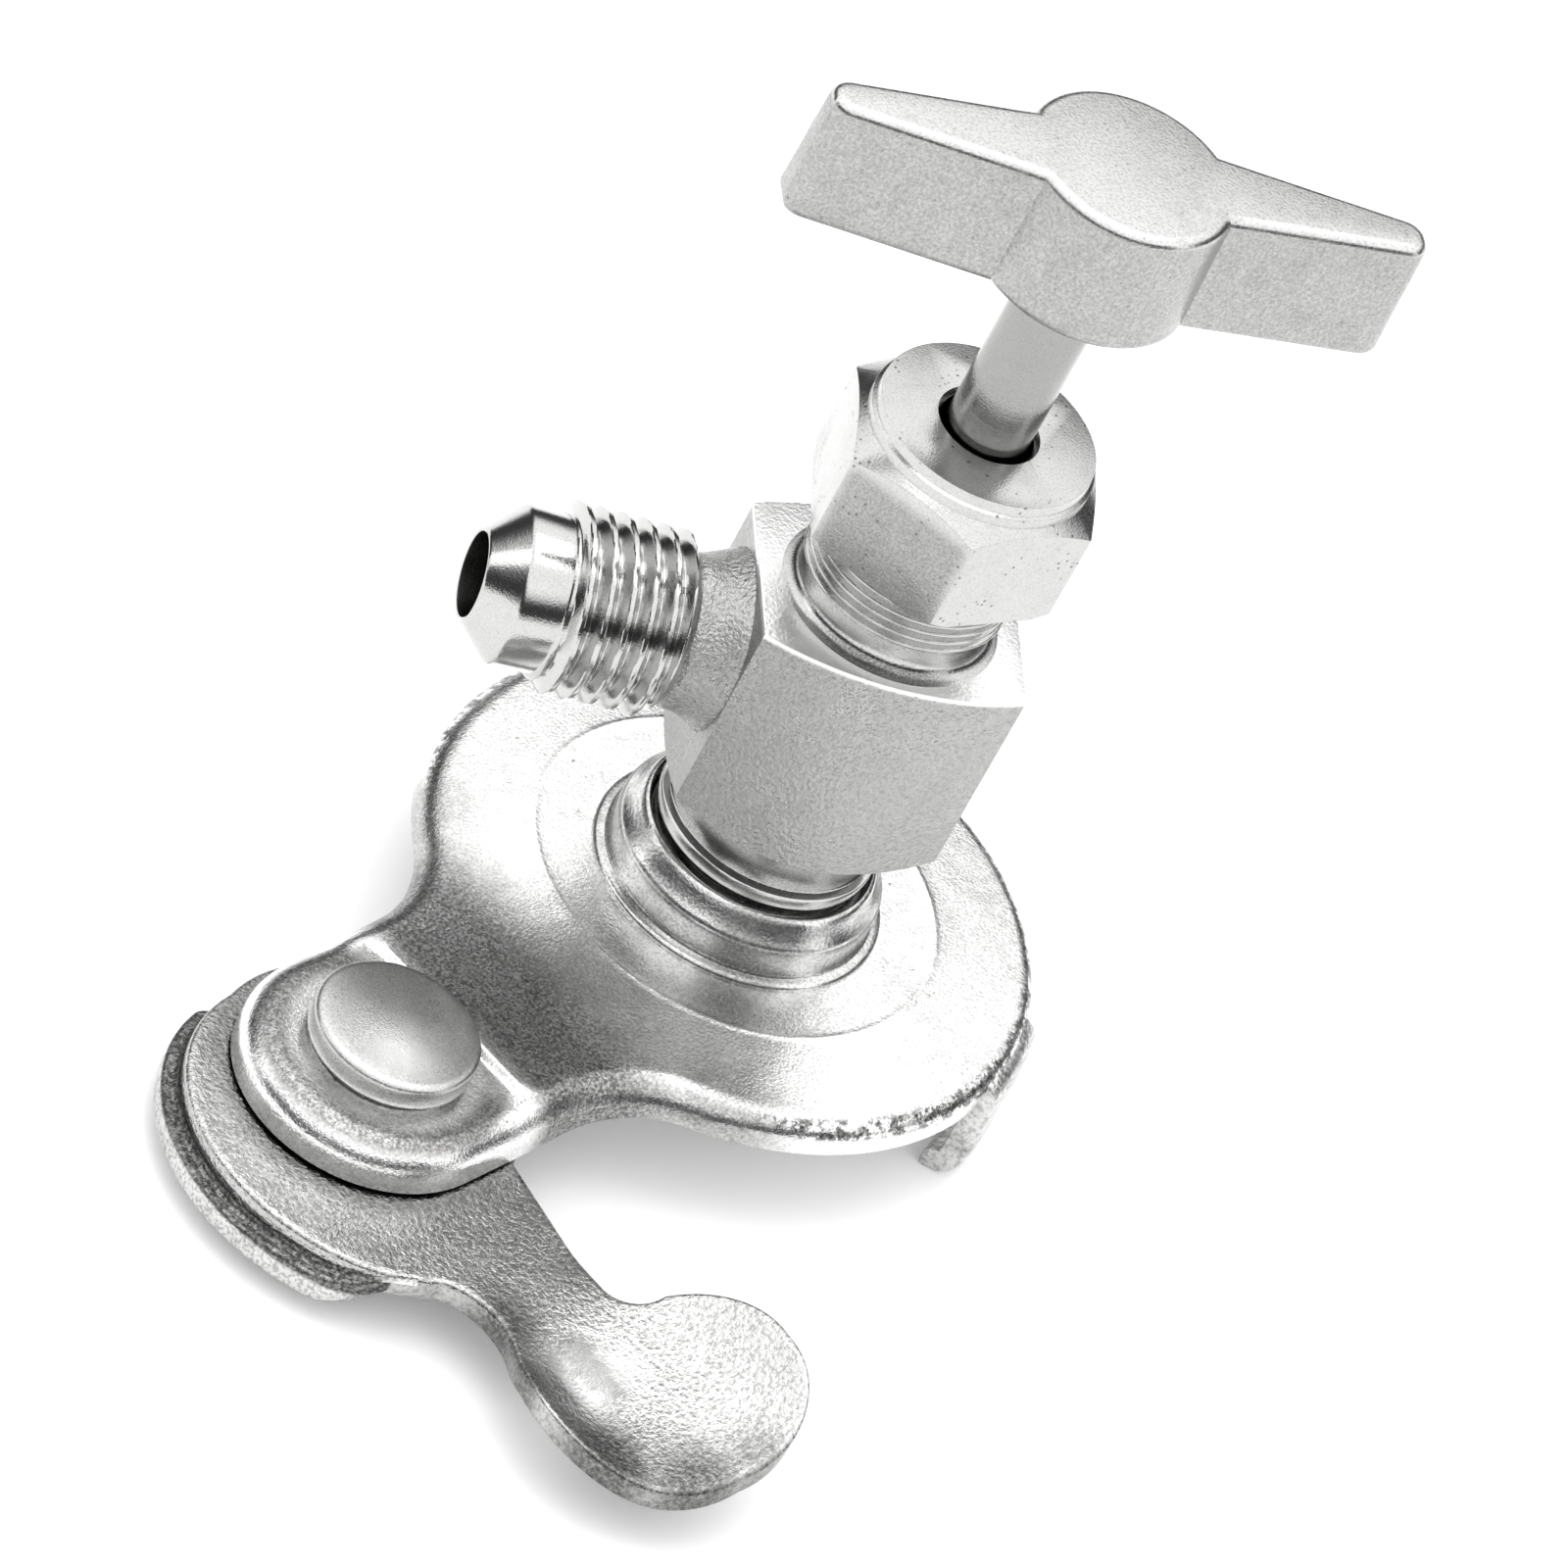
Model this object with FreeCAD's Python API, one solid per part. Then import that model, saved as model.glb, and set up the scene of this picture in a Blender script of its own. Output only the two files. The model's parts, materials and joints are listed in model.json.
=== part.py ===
"""Can-piercing tap valve: clamp plate with cam lever, screwed-in valve body, flare outlet, wing handle.

Frame: +Z is up along the valve axis, the clamp's arm points to -X, and the origin is the middle of
the can gasket's sealing face.  Millimetres.
"""
import FreeCAD
import Part
import math
import os

os.makedirs("parts", exist_ok=True)
V = FreeCAD.Vector
UP = V(0, 0, 1)
FIT = 0.05                      # radial running clearance of every shaft, screw and pivot
ROOM = 0.05                     # axial clearance between parts that turn on each other

# ---- heights, from the sealing face of the can gasket ----
PLATE_TOP = 4.6                 # top of the clamp plate round the bush
OUTLET_Z = PLATE_TOP + 17.15    # axis of the flare outlet
BLOCK_BOTTOM = PLATE_TOP + 7.6  # where the lower neck meets the forged block
BLOCK_TOP = PLATE_TOP + 22.9
NECK_TOP = PLATE_TOP + 33.0     # rim of the threaded upper neck, inside the gland nut
NUT_BOTTOM = PLATE_TOP + 28.6
NUT_TOP = PLATE_TOP + 37.1
HANDLE_BOTTOM = PLATE_TOP + 49.2
HANDLE_TOP = PLATE_TOP + 57.1
OUTLET_TURN = 137.55            # direction of the outlet, degrees from +X
HANDLE_TURN = 140.0             # direction of one wing at rest
NUT_TURN = 42.3                 # direction of one corner of the hexagon

# ---- clamp plate: pressed steel pan with a turned-down rim ----
SHEET = 1.8
DISC_RIM = 2.0                  # height of the rim's outside wall, round the disc
ARM_RIM = 2.8                   # and round the end of the arm
RIM_WALL = 1.6
DISC_R = 19.1
FLAT_R = 12.5                   # the flat centre; outside it the disc falls away slightly
DISC_FALL = 0.5
EDGE_ROLL = 1.0                 # rolled-over upper edge
ARM_HALF = 8.2
ARM_FILLET = 9.0
PIVOT_X = -29.5
LAND_EDGE_X = -24.4             # step down to the land that carries the rivet
LAND_STEP = 0.6
BUSH_HOLE_R = 7.9

# ---- claws: two tabs bent down from the disc's edge to grip the can's bead ----
CLAW_ANGLE = 67.5               # either side of +X
CLAW_WIDTH = 7.2
CLAW_OUT_R = 19.9
CLAW_SHEET = 1.8
CLAW_TIP_R = 17.5
CLAW_BOTTOM = PLATE_TOP - 8.6
CLAW_BEND_R = 1.6

# ---- threaded bush, swaged into the plate ----
BUSH_R = 8.2
BUSH_FOOT_R = 8.95
BUSH_FOOT = 0.5
BUSH_WALL_TOP = 2.44
BUSH_TOP = 4.0
BUSH_MOUTH_R = 7.16
STUB_R = 6.78                   # outer radius of the screwed stub of the valve body
BUSH_TAIL = 0.9

# ---- cam lever ----
LEVER_TOP = PLATE_TOP - 4.15
LEVER_SHEET = 1.5
LEVER_HEAD_R = 9.3
CAM_START = 107.0               # degrees, where the cam wall begins to grow from the head
CAM_END = 225.0
CAM_RISE = 0.040                # mm of radius per degree
CAM_LIP = 0.9                   # the lip beyond the wall
CAM_LIP_TOP = LEVER_TOP - 1.7
CAM_LIP_SHEET = 1.4
TAB_BEND = 32.0                 # the right half of the thumb tab is turned up by this angle
TAB_BEND_R = 2.0
TAB_LINE = -100.0               # direction of the tab's bend line
TAB_CORNER = (1.9, -18.7)       # inner corner of tab and neck, from the pivot
TAB_R = 6.2
TAB_MID = (7.3, 1.05)           # centre of the tab's round end, along and across the bend line
TAB_ROUND_START = 165.0         # degrees round the tab's end, where it leaves the inner corner
HEAD_SIDE = -63.0               # direction in which the neck's straight edge leaves the head
NECK_STEP = (0.1, 1.1)          # from the inner corner to the end of the neck's straight edge
CORNER_MID = (0.3, -0.65)       # middle of the small fillet in the inner corner
TAB_SIDE = (-7.95, -25.2)        # left flank of the tab, from the pivot
SHOULDER_MID = (-8.4, -11.5)    # convex shoulder between the cam wall and the neck
SHOULDER_END = (-6.3, -12.95)
WAIST = (-5.25, -15.2)          # narrowest point of the neck's left edge
TAB_SIDE_START = (-6.0, -18.5)

# ---- pivot rivet and its washers ----
RIVET_R = 3.0
RIVET_HEAD_R = 4.95
RIVET_HEAD = 2.4
RIVET_CROWN = 0.25
RIVET_TAIL_R = 4.2
RIVET_TAIL = 0.75
WASHER_R = 6.0
TAIL_WASHER = 0.7

# ---- valve body ----
BLOCK_HALF = 8.0                # half width along the outlet
BLOCK_CORNER = 5.5              # half depth at the corners
BLOCK_CROWN = 7.15              # half depth in the middle of the crowned faces
BLOCK_CHAMFER = 32.0            # turned chamfer under the block, degrees
NECK_R = 6.3
STUB_NECK_R = 6.25
STUB_NECK_BOTTOM = PLATE_TOP + 5.8
STUB_BOTTOM = 1.6               # the stub's rim, round the gasket
RELIEF_R = 5.7                  # thread relief over the block
RELIEF = 0.6
THREAD_R = 6.3
PACKING_FLOOR = PLATE_TOP + 28.0
PACKING_R = 4.3
SPINDLE_THREAD_R = 3.9
SPINDLE_THREAD_FLOOR = PLATE_TOP + 20.0
CHAMBER_R = 4.1
SEAT_Z = PLATE_TOP + 12.8
PASSAGE_R = 1.7

# ---- outlet: 1/4 inch 45 degree flare fitting, 7/16-20 thread ----
OUTLET_LENGTH = 22.98           # valve axis to the mouth
OUTLET_BORE_R = 2.45
MOUTH_R = 2.65
FLARE_LAND_R = 4.65
FLARE_LAND = 2.5
OUTLET_THREAD_R = 5.556
OUTLET_PITCH = 1.27
OUTLET_TURNS = 6
THREAD_DEPTH = 0.7
OUTLET_NECK_R = 4.4

# ---- gland nut ----
NUT_ACROSS_FLATS = 14.29
NUT_BOSS_R = 6.5
NUT_BOSS = 1.2
NUT_CHAMFER = 30.0
NUT_STEM_R = 2.8
NUT_EDGE = 0.4

# ---- spindle, needle, handle ----
STEM_R = 2.5
SPINDLE_NOSE = PLATE_TOP + 18.8
SPINDLE_NOSE_R = 2.9
NEEDLE_R = 1.0
NEEDLE_TIP = 0.9
NEEDLE_POINT = 3.0
NEEDLE_TOP = PLATE_TOP + 23.0
SEAL_R = 2.4
SEAL_HEIGHT = 1.0
NEEDLE_COLLAR_R = 1.5           # collar on the needle that keeps the seat seal on it
NEEDLE_COLLAR = 0.8
STEM_IN_HANDLE = 6.0
HUB_R_TOP = 6.15
HUB_R_BOTTOM = 6.5
WING_TIP = 17.7
WING_HALF_ROOT = 2.75
WING_HALF_TIP = 1.25
WING_CORNER = 0.8
HANDLE_EDGE = 0.5

# ---- can gasket ----
GASKET_R = 6.0
GASKET_HOLE_R = 2.0
GASKET_RECESS = 0.8


def at(x, y, z=0.0):
    return V(x, y, z)


def polar(radius, degrees, z=0.0):
    a = math.radians(degrees)
    return V(radius * math.cos(a), radius * math.sin(a), z)


def tube(outer, inner, bottom, top, x=0.0, y=0.0):
    solid = Part.makeCylinder(outer, top - bottom, at(x, y, bottom))
    return solid.cut(Part.makeCylinder(inner, top - bottom, at(x, y, bottom)))


def turned(profile):
    """Solid of revolution about Z of a closed outline of (radius, height) points."""
    wire = Part.makePolygon([at(r, 0, z) for r, z in profile + profile[:1]])
    return Part.Face(wire).revolve(at(0, 0), UP, 360)


def prism(edges, bottom, top):
    """Upright solid from plan edges that lie at height 0."""
    face = Part.Face(Part.Wire(Part.sortEdges(edges)[0]))
    face.translate(at(0, 0, bottom))
    return face.extrude(at(0, 0, top - bottom))


def arc(a, middle, b):
    return Part.Arc(a, middle, b).toShape()


def line(a, b):
    return Part.LineSegment(a, b).toShape()


def turn(shape, degrees, centre=V(0, 0, 0)):
    shape.rotate(centre, UP, degrees)
    return shape


def one(shape):
    """The single solid of a boolean result, with its split faces joined."""
    return shape.removeSplitter().Solids[0]


def save(name, *solids):
    shape = solids[0] if len(solids) == 1 else Part.makeCompound(list(solids))
    shape.exportStep("parts/" + name + ".step")


def plate_outline(inset=0.0):
    """Disc and arm with fillets between them, symmetric about the X axis, drawn in by the inset."""
    disc = DISC_R - inset
    half = ARM_HALF - inset
    fillet = ARM_FILLET + inset
    end_r = half
    centre = V(-math.sqrt((disc + fillet) ** 2 - (half + fillet) ** 2), half + fillet, 0)
    touch = centre * (disc / (disc + fillet))
    inward = (V(0, -1, 0) + (touch - centre).normalize()).normalize()
    middle = centre + inward * fillet
    side = V(centre.x, half, 0)
    end = V(PIVOT_X, half, 0)

    def mirror(p):
        return V(p.x, -p.y, 0)

    return [arc(touch, V(disc, 0, 0), mirror(touch)),
            arc(touch, middle, side),
            line(side, end),
            arc(end, V(PIVOT_X - end_r, 0, 0), mirror(end)),
            line(mirror(end), mirror(side)),
            arc(mirror(side), mirror(middle), mirror(touch))]


def rolled(solid, height, radius):
    """Round every edge of the outline that lies at the given height."""
    edges = [e for e in solid.Edges
             if abs(e.BoundBox.ZMin - height) < 1e-6 and abs(e.BoundBox.ZMax - height) < 1e-6]
    return solid.makeFillet(radius, edges)


def claw(angle):
    """J-shaped tab: a leg down from the disc's edge and a lip that turns in under the bead."""
    top = PLATE_TOP - DISC_FALL - SHEET / 2
    inner = CLAW_OUT_R - CLAW_SHEET
    lip_top = CLAW_BOTTOM + CLAW_SHEET
    bend = CLAW_BEND_R
    c = V(CLAW_OUT_R - bend, 0, CLAW_BOTTOM + bend)
    elbow = c + V(bend * math.cos(math.pi / 4), 0, -bend * math.sin(math.pi / 4))
    root = DISC_R - RIM_WALL
    outline = [line(V(root, 0, top), V(CLAW_OUT_R - EDGE_ROLL, 0, top)),
               arc(V(CLAW_OUT_R - EDGE_ROLL, 0, top),
                   V(CLAW_OUT_R - 0.3 * EDGE_ROLL, 0, top - 0.3 * EDGE_ROLL),
                   V(CLAW_OUT_R, 0, top - EDGE_ROLL)),
               line(V(CLAW_OUT_R, 0, top - EDGE_ROLL), V(CLAW_OUT_R, 0, CLAW_BOTTOM + bend)),
               arc(V(CLAW_OUT_R, 0, CLAW_BOTTOM + bend), elbow, V(CLAW_OUT_R - bend, 0, CLAW_BOTTOM)),
               line(V(CLAW_OUT_R - bend, 0, CLAW_BOTTOM), V(CLAW_TIP_R, 0, CLAW_BOTTOM)),
               line(V(CLAW_TIP_R, 0, CLAW_BOTTOM), V(CLAW_TIP_R, 0, lip_top)),
               line(V(CLAW_TIP_R, 0, lip_top), V(inner, 0, lip_top)),
               line(V(inner, 0, lip_top), V(inner, 0, top - DISC_RIM)),
               line(V(inner, 0, top - DISC_RIM), V(root, 0, top - DISC_RIM + inner - root)),
               line(V(root, 0, top - DISC_RIM + inner - root), V(root, 0, top))]
    face = Part.Face(Part.Wire(Part.sortEdges(outline)[0]))
    face.translate(V(0, -CLAW_WIDTH / 2, 0))
    return turn(face.extrude(V(0, CLAW_WIDTH, 0)), angle)


def pan(rim_top, rim):
    """One level of the pressed plate: rolled upper edge, turned-down rim, hollow underneath."""
    low = rim_top - rim
    shell = rolled(prism(plate_outline(), low, rim_top), rim_top, EDGE_ROLL)
    return shell.cut(prism(plate_outline(RIM_WALL), low - 1, rim_top - SHEET))


def clamp_plate():
    rim_top = PLATE_TOP - DISC_FALL
    reach = 30.0
    beyond = Part.makeBox(reach, 2 * reach, 2 * reach, V(LAND_EDGE_X - reach, -reach, -reach))
    land = pan(rim_top - LAND_STEP, ARM_RIM).common(beyond)
    plate = pan(rim_top, DISC_RIM).cut(beyond).fuse(land)
    crown = turned([(0, rim_top - SHEET), (DISC_R - EDGE_ROLL, rim_top - SHEET),
                    (DISC_R - EDGE_ROLL, rim_top), (FLAT_R, PLATE_TOP), (0, PLATE_TOP)])
    plate = plate.fuse(crown)
    for angle in (CLAW_ANGLE, -CLAW_ANGLE):
        plate = plate.fuse(claw(angle))
    plate = plate.cut(Part.makeCylinder(BUSH_HOLE_R, 20, V(0, 0, -10)))
    plate = plate.cut(Part.makeCylinder(RIVET_R, 30, V(PIVOT_X, 0, -15)))
    return one(plate)


def threaded_bush():
    tail_top = PLATE_TOP - DISC_FALL - SHEET
    bore = STUB_R + FIT
    return turned([(bore, tail_top - BUSH_TAIL), (BUSH_FOOT_R, tail_top - BUSH_TAIL),
                   (BUSH_FOOT_R, tail_top), (BUSH_HOLE_R, tail_top), (BUSH_HOLE_R, PLATE_TOP),
                   (BUSH_FOOT_R, PLATE_TOP), (BUSH_FOOT_R, PLATE_TOP + BUSH_FOOT / 2),
                   (BUSH_R, PLATE_TOP + BUSH_FOOT), (BUSH_R, PLATE_TOP + BUSH_WALL_TOP),
                   (BUSH_MOUTH_R, PLATE_TOP + BUSH_TOP), (bore, PLATE_TOP + BUSH_TOP - 0.4)])


def pivot_rivet():
    head_bottom = PLATE_TOP - DISC_FALL - LAND_STEP
    head_top = head_bottom + RIVET_HEAD
    tail_top = LEVER_TOP - LEVER_SHEET - ROOM - TAIL_WASHER
    rivet = turned([(0, tail_top - RIVET_TAIL), (RIVET_TAIL_R - 0.4, tail_top - RIVET_TAIL),
                    (RIVET_TAIL_R, tail_top), (RIVET_R, tail_top), (RIVET_R, head_bottom),
                    (RIVET_HEAD_R, head_bottom), (RIVET_HEAD_R, head_top - RIVET_CROWN - 0.3),
                    (RIVET_HEAD_R - 0.3, head_top - RIVET_CROWN), (0, head_top)])
    rivet.translate(V(PIVOT_X, 0, 0))
    return rivet


def spring_washer():
    top = PLATE_TOP - DISC_FALL - LAND_STEP - SHEET
    return tube(WASHER_R, RIVET_R, LEVER_TOP + ROOM, top, PIVOT_X)


def tail_washer():
    top = LEVER_TOP - LEVER_SHEET - ROOM
    return tube(WASHER_R, RIVET_R, top - TAIL_WASHER, top, PIVOT_X)


def cam_radius(degrees):
    return LEVER_HEAD_R + CAM_RISE * (degrees - CAM_START)


def spiral(offset, start=CAM_START, end=CAM_END, steps=8):
    """Smooth curve that runs along the cam wall, at an offset from it."""
    span = (end - start) / steps
    points = [polar(cam_radius(start + i * span) + offset, start + i * span) for i in range(steps + 1)]
    curve = Part.BSplineCurve()
    curve.interpolate(points)
    return curve.toShape(), points[0], points[-1]


def tab_point(along, across):
    """Plan point of the turned-up half of the tab, from distances along and across its bend line."""
    a = math.radians(TAB_LINE)
    forward = V(math.cos(a), math.sin(a), 0)
    right = V(-math.sin(a), math.cos(a), 0) * math.cos(math.radians(TAB_BEND))
    return V(TAB_CORNER[0], TAB_CORNER[1], 0) + forward * along + right * across


def tab_round(degrees):
    """Plan point on the round end of the turned-up half; 0 is the far end of the bend line."""
    a = math.radians(degrees)
    return tab_point(TAB_MID[0] + TAB_R * math.cos(a), TAB_MID[1] + TAB_R * math.sin(a))


def lever_outline():
    """Plan of the lever about its pivot: head, cam side, neck and thumb tab."""
    cam, cam_a, cam_b = spiral(0.0)
    head = polar(LEVER_HEAD_R, HEAD_SIDE)
    corner = tab_point(0.0, 0.0)
    neck = corner + V(*NECK_STEP, 0)
    half = math.sqrt(TAB_R ** 2 - TAB_MID[1] ** 2)
    far = tab_point(TAB_MID[0] + half, 0.0)
    round_start = tab_round(TAB_ROUND_START)
    shoulder = V(*SHOULDER_END, 0)
    side_start = V(*TAB_SIDE_START, 0)
    return [cam,
            arc(cam_a, polar(LEVER_HEAD_R, 20.0), head),
            line(head, neck),
            arc(neck, corner + V(*CORNER_MID, 0), round_start),
            arc(round_start, tab_round(125.0), tab_round(90.0)),
            arc(tab_round(90.0), tab_round(45.0), far),
            arc(far, V(*TAB_SIDE, 0), side_start),
            arc(side_start, V(*WAIST, 0), shoulder),
            arc(shoulder, V(*SHOULDER_MID, 0), cam_b)]


def bent_sheet():
    """Sheet of the lever: level, with everything right of the tab's bend line turned up."""
    along = math.radians(TAB_LINE)
    up = math.radians(TAB_BEND)
    reach = 16.0
    start = -TAB_BEND_R * math.tan(up / 2)

    def section(across, height):
        return V(across, 0, height)

    def bent(radius, share):
        return section(start + radius * math.sin(up * share), TAB_BEND_R - radius * math.cos(up * share))

    def tilted(radius):
        return bent(radius, 1.0) + section(reach * math.cos(up), reach * math.sin(up))

    outer = TAB_BEND_R + LEVER_SHEET
    edges = [line(section(-reach, 0), bent(TAB_BEND_R, 0.0)),
             arc(bent(TAB_BEND_R, 0.0), bent(TAB_BEND_R, 0.5), bent(TAB_BEND_R, 1.0)),
             line(bent(TAB_BEND_R, 1.0), tilted(TAB_BEND_R)),
             line(tilted(TAB_BEND_R), tilted(outer)),
             line(tilted(outer), bent(outer, 1.0)),
             arc(bent(outer, 1.0), bent(outer, 0.5), bent(outer, 0.0)),
             line(bent(outer, 0.0), section(-reach, -LEVER_SHEET)),
             line(section(-reach, -LEVER_SHEET), section(-reach, 0))]
    face = Part.Face(Part.Wire(Part.sortEdges(edges)[0]))
    length = 20.0
    overlap = 1.0
    face.translate(V(0, overlap, 0))
    sheet = face.extrude(V(0, -length, 0))
    sheet.rotate(V(0, 0, 0), UP, math.degrees(along) + 90)
    sheet.translate(V(TAB_CORNER[0], TAB_CORNER[1], LEVER_TOP))
    return sheet


def cam_flange():
    """Wall under the head's rim and the lip at its foot; the lip goes under the can's bead."""
    lip_bottom = CAM_LIP_TOP - CAM_LIP_SHEET
    wall = LEVER_SHEET
    inner, inner_a, inner_b = spiral(-wall)
    outer, outer_a, outer_b = spiral(0.0)
    lip, lip_a, lip_b = spiral(CAM_LIP)
    skirt = prism([inner, outer, line(inner_a, outer_a), line(inner_b, outer_b)],
                  lip_bottom, LEVER_TOP - LEVER_SHEET / 2)
    foot = prism([inner, lip, line(inner_a, lip_a), line(inner_b, lip_b)], lip_bottom, CAM_LIP_TOP)
    return skirt.fuse(foot)


def cam_lever():
    low = LEVER_TOP - LEVER_SHEET
    reach = 40.0
    split_y = TAB_CORNER[1] + 0.2
    plan = prism(lever_outline(), low - 5, LEVER_TOP + 15)
    level_zone = Part.makeBox(2 * reach, reach - split_y, LEVER_SHEET, V(-reach, split_y, low))
    tab_zone = Part.makeBox(2 * reach, reach + split_y, 2 * reach, V(-reach, -reach, -reach))
    lever = plan.common(level_zone)
    lever = lever.fuse(plan.common(bent_sheet()).common(tab_zone))
    lever = lever.fuse(cam_flange())
    lever = lever.cut(Part.makeCylinder(RIVET_R + FIT, 30, V(0, 0, -15)))
    lever.translate(V(PIVOT_X, 0, 0))
    return one(lever)


def block():
    """Forged block: level width along the outlet, crowned front and back, turned chamfer below."""
    h, c, m = BLOCK_HALF, BLOCK_CORNER, BLOCK_CROWN
    plan = [line(V(h, -c, 0), V(h, c, 0)),
            arc(V(h, c, 0), V(0, m, 0), V(-h, c, 0)),
            line(V(-h, c, 0), V(-h, -c, 0)),
            arc(V(-h, -c, 0), V(0, -m, 0), V(h, -c, 0))]
    solid = prism(plan, BLOCK_BOTTOM, BLOCK_TOP)
    wide = 14.0
    rise = (wide - NECK_R) * math.tan(math.radians(BLOCK_CHAMFER))
    envelope = turned([(0, BLOCK_BOTTOM), (NECK_R, BLOCK_BOTTOM), (wide, BLOCK_BOTTOM + rise),
                       (wide, BLOCK_TOP), (0, BLOCK_TOP)])
    return solid.common(envelope)


def outlet_profile():
    """Outline (radius, distance from the valve axis) of the flare fitting's outside."""
    mouth = OUTLET_LENGTH
    land_end = mouth - (FLARE_LAND_R - MOUTH_R)
    thread_start = land_end - FLARE_LAND
    points = [(0, 0), (OUTLET_NECK_R, 0)]
    thread_end = thread_start - OUTLET_TURNS * OUTLET_PITCH
    points.append((OUTLET_NECK_R, thread_end - 0.5))
    root = OUTLET_THREAD_R - THREAD_DEPTH
    crest = OUTLET_PITCH / 8
    for i in range(OUTLET_TURNS):
        start = thread_end + i * OUTLET_PITCH
        points.append((root, start))
        points.append((OUTLET_THREAD_R, start + OUTLET_PITCH / 2 - crest))
        points.append((OUTLET_THREAD_R, start + OUTLET_PITCH / 2 + crest))
    points += [(root, thread_start), (FLARE_LAND_R, thread_start), (FLARE_LAND_R, land_end),
               (MOUTH_R, mouth), (0, mouth)]
    return points


def valve_body():
    body = block()
    outlet = turned(outlet_profile())
    outlet.rotate(V(0, 0, 0), V(0, 1, 0), 90)
    outlet.translate(V(0, 0, OUTLET_Z))
    body = body.fuse(outlet)
    body = turn(body, OUTLET_TURN)
    necks = turned([(0, STUB_BOTTOM), (STUB_R - 0.4, STUB_BOTTOM), (STUB_R, STUB_BOTTOM + 0.4),
                    (STUB_R, STUB_NECK_BOTTOM - 0.3), (STUB_R - 0.3, STUB_NECK_BOTTOM),
                    (STUB_NECK_R, STUB_NECK_BOTTOM), (STUB_NECK_R, BLOCK_TOP - 1),
                    (RELIEF_R, BLOCK_TOP - 1), (RELIEF_R, BLOCK_TOP + RELIEF),
                    (THREAD_R, BLOCK_TOP + 2 * RELIEF), (THREAD_R, NECK_TOP - 0.5),
                    (THREAD_R - 0.5, NECK_TOP), (0, NECK_TOP)])
    body = body.fuse(necks)
    cavity = turned([(0, STUB_BOTTOM), (GASKET_R + FIT, STUB_BOTTOM),
                     (GASKET_R + FIT, STUB_BOTTOM + GASKET_RECESS),
                     (PASSAGE_R, STUB_BOTTOM + GASKET_RECESS), (PASSAGE_R, SEAT_Z - 1.5),
                     (SEAL_R + 0.1, SEAT_Z), (CHAMBER_R, SEAT_Z + 1.2),
                     (CHAMBER_R, SPINDLE_THREAD_FLOOR), (SPINDLE_THREAD_R, SPINDLE_THREAD_FLOOR),
                     (SPINDLE_THREAD_R, PACKING_FLOOR), (PACKING_R, PACKING_FLOOR),
                     (PACKING_R, NECK_TOP), (0, NECK_TOP)])
    body = body.cut(cavity)
    bore = Part.makeCylinder(OUTLET_BORE_R, OUTLET_LENGTH, V(0, 0, OUTLET_Z), polar(1, OUTLET_TURN))
    return one(body.cut(bore))


def gland_nut():
    corner = NUT_ACROSS_FLATS / math.sqrt(3)
    boss_bottom = NUT_TOP - NUT_BOSS
    slope = math.tan(math.radians(NUT_CHAMFER))
    corners = [polar(corner, NUT_TURN + 60 * i) for i in range(6)]
    hexagon = prism([line(corners[i], corners[(i + 1) % 6]) for i in range(6)], NUT_BOTTOM, NUT_TOP)
    low_r = corner - 0.6
    envelope = turned([(0, NUT_BOTTOM), (low_r, NUT_BOTTOM), (corner + 0.2, NUT_BOTTOM + 0.8 * slope),
                       (corner + 0.2, boss_bottom - (corner + 0.2 - NUT_BOSS_R) * slope),
                       (NUT_BOSS_R, boss_bottom), (NUT_BOSS_R, NUT_TOP - NUT_EDGE),
                       (NUT_BOSS_R - NUT_EDGE, NUT_TOP), (0, NUT_TOP)])
    nut = hexagon.common(envelope)
    nose_bottom = NECK_TOP - 0.9
    hollow = turned([(0, NUT_BOTTOM), (THREAD_R + FIT, NUT_BOTTOM), (THREAD_R + FIT, NECK_TOP + 0.3),
                     (PACKING_R - 0.1, NECK_TOP + 0.3), (PACKING_R - 0.1, nose_bottom),
                     (0, nose_bottom)])
    nut = nut.cut(hollow)
    hole = turned([(0, nose_bottom - 1), (NUT_STEM_R, nose_bottom - 1), (NUT_STEM_R, NUT_TOP - 0.3),
                   (NUT_STEM_R + 0.3, NUT_TOP), (NUT_STEM_R + 0.3, NUT_TOP + 1), (0, NUT_TOP + 1)])
    return one(nut.cut(hole))


def packing_stack():
    """Backing washer, two packing rings and thrust washer, from the floor of the packing box up."""
    heights = [("backing_washer", 0.8), ("packing_ring_lower", 1.25), ("packing_ring_upper", 1.25),
               ("thrust_washer", 0.8)]
    z = PACKING_FLOOR
    for name, height in heights:
        save(name, tube(PACKING_R, STEM_R + FIT, z, z + height))
        z += height


def spindle():
    thread = SPINDLE_THREAD_R - FIT
    thread_bottom = SPINDLE_THREAD_FLOOR + 1.5
    thread_top = PACKING_FLOOR - 0.4
    stem_top = HANDLE_BOTTOM + STEM_IN_HANDLE
    solid = turned([(0, SPINDLE_NOSE), (SPINDLE_NOSE_R - 0.5, SPINDLE_NOSE),
                    (SPINDLE_NOSE_R, SPINDLE_NOSE + 0.5), (SPINDLE_NOSE_R, thread_bottom),
                    (thread, thread_bottom + 0.6), (thread, thread_top - 0.6), (STEM_R, thread_top),
                    (STEM_R, stem_top - 0.3), (STEM_R - 0.3, stem_top), (0, stem_top)])
    return solid.cut(Part.makeCylinder(NEEDLE_R, NEEDLE_TOP - SPINDLE_NOSE, V(0, 0, SPINDLE_NOSE)))


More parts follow.
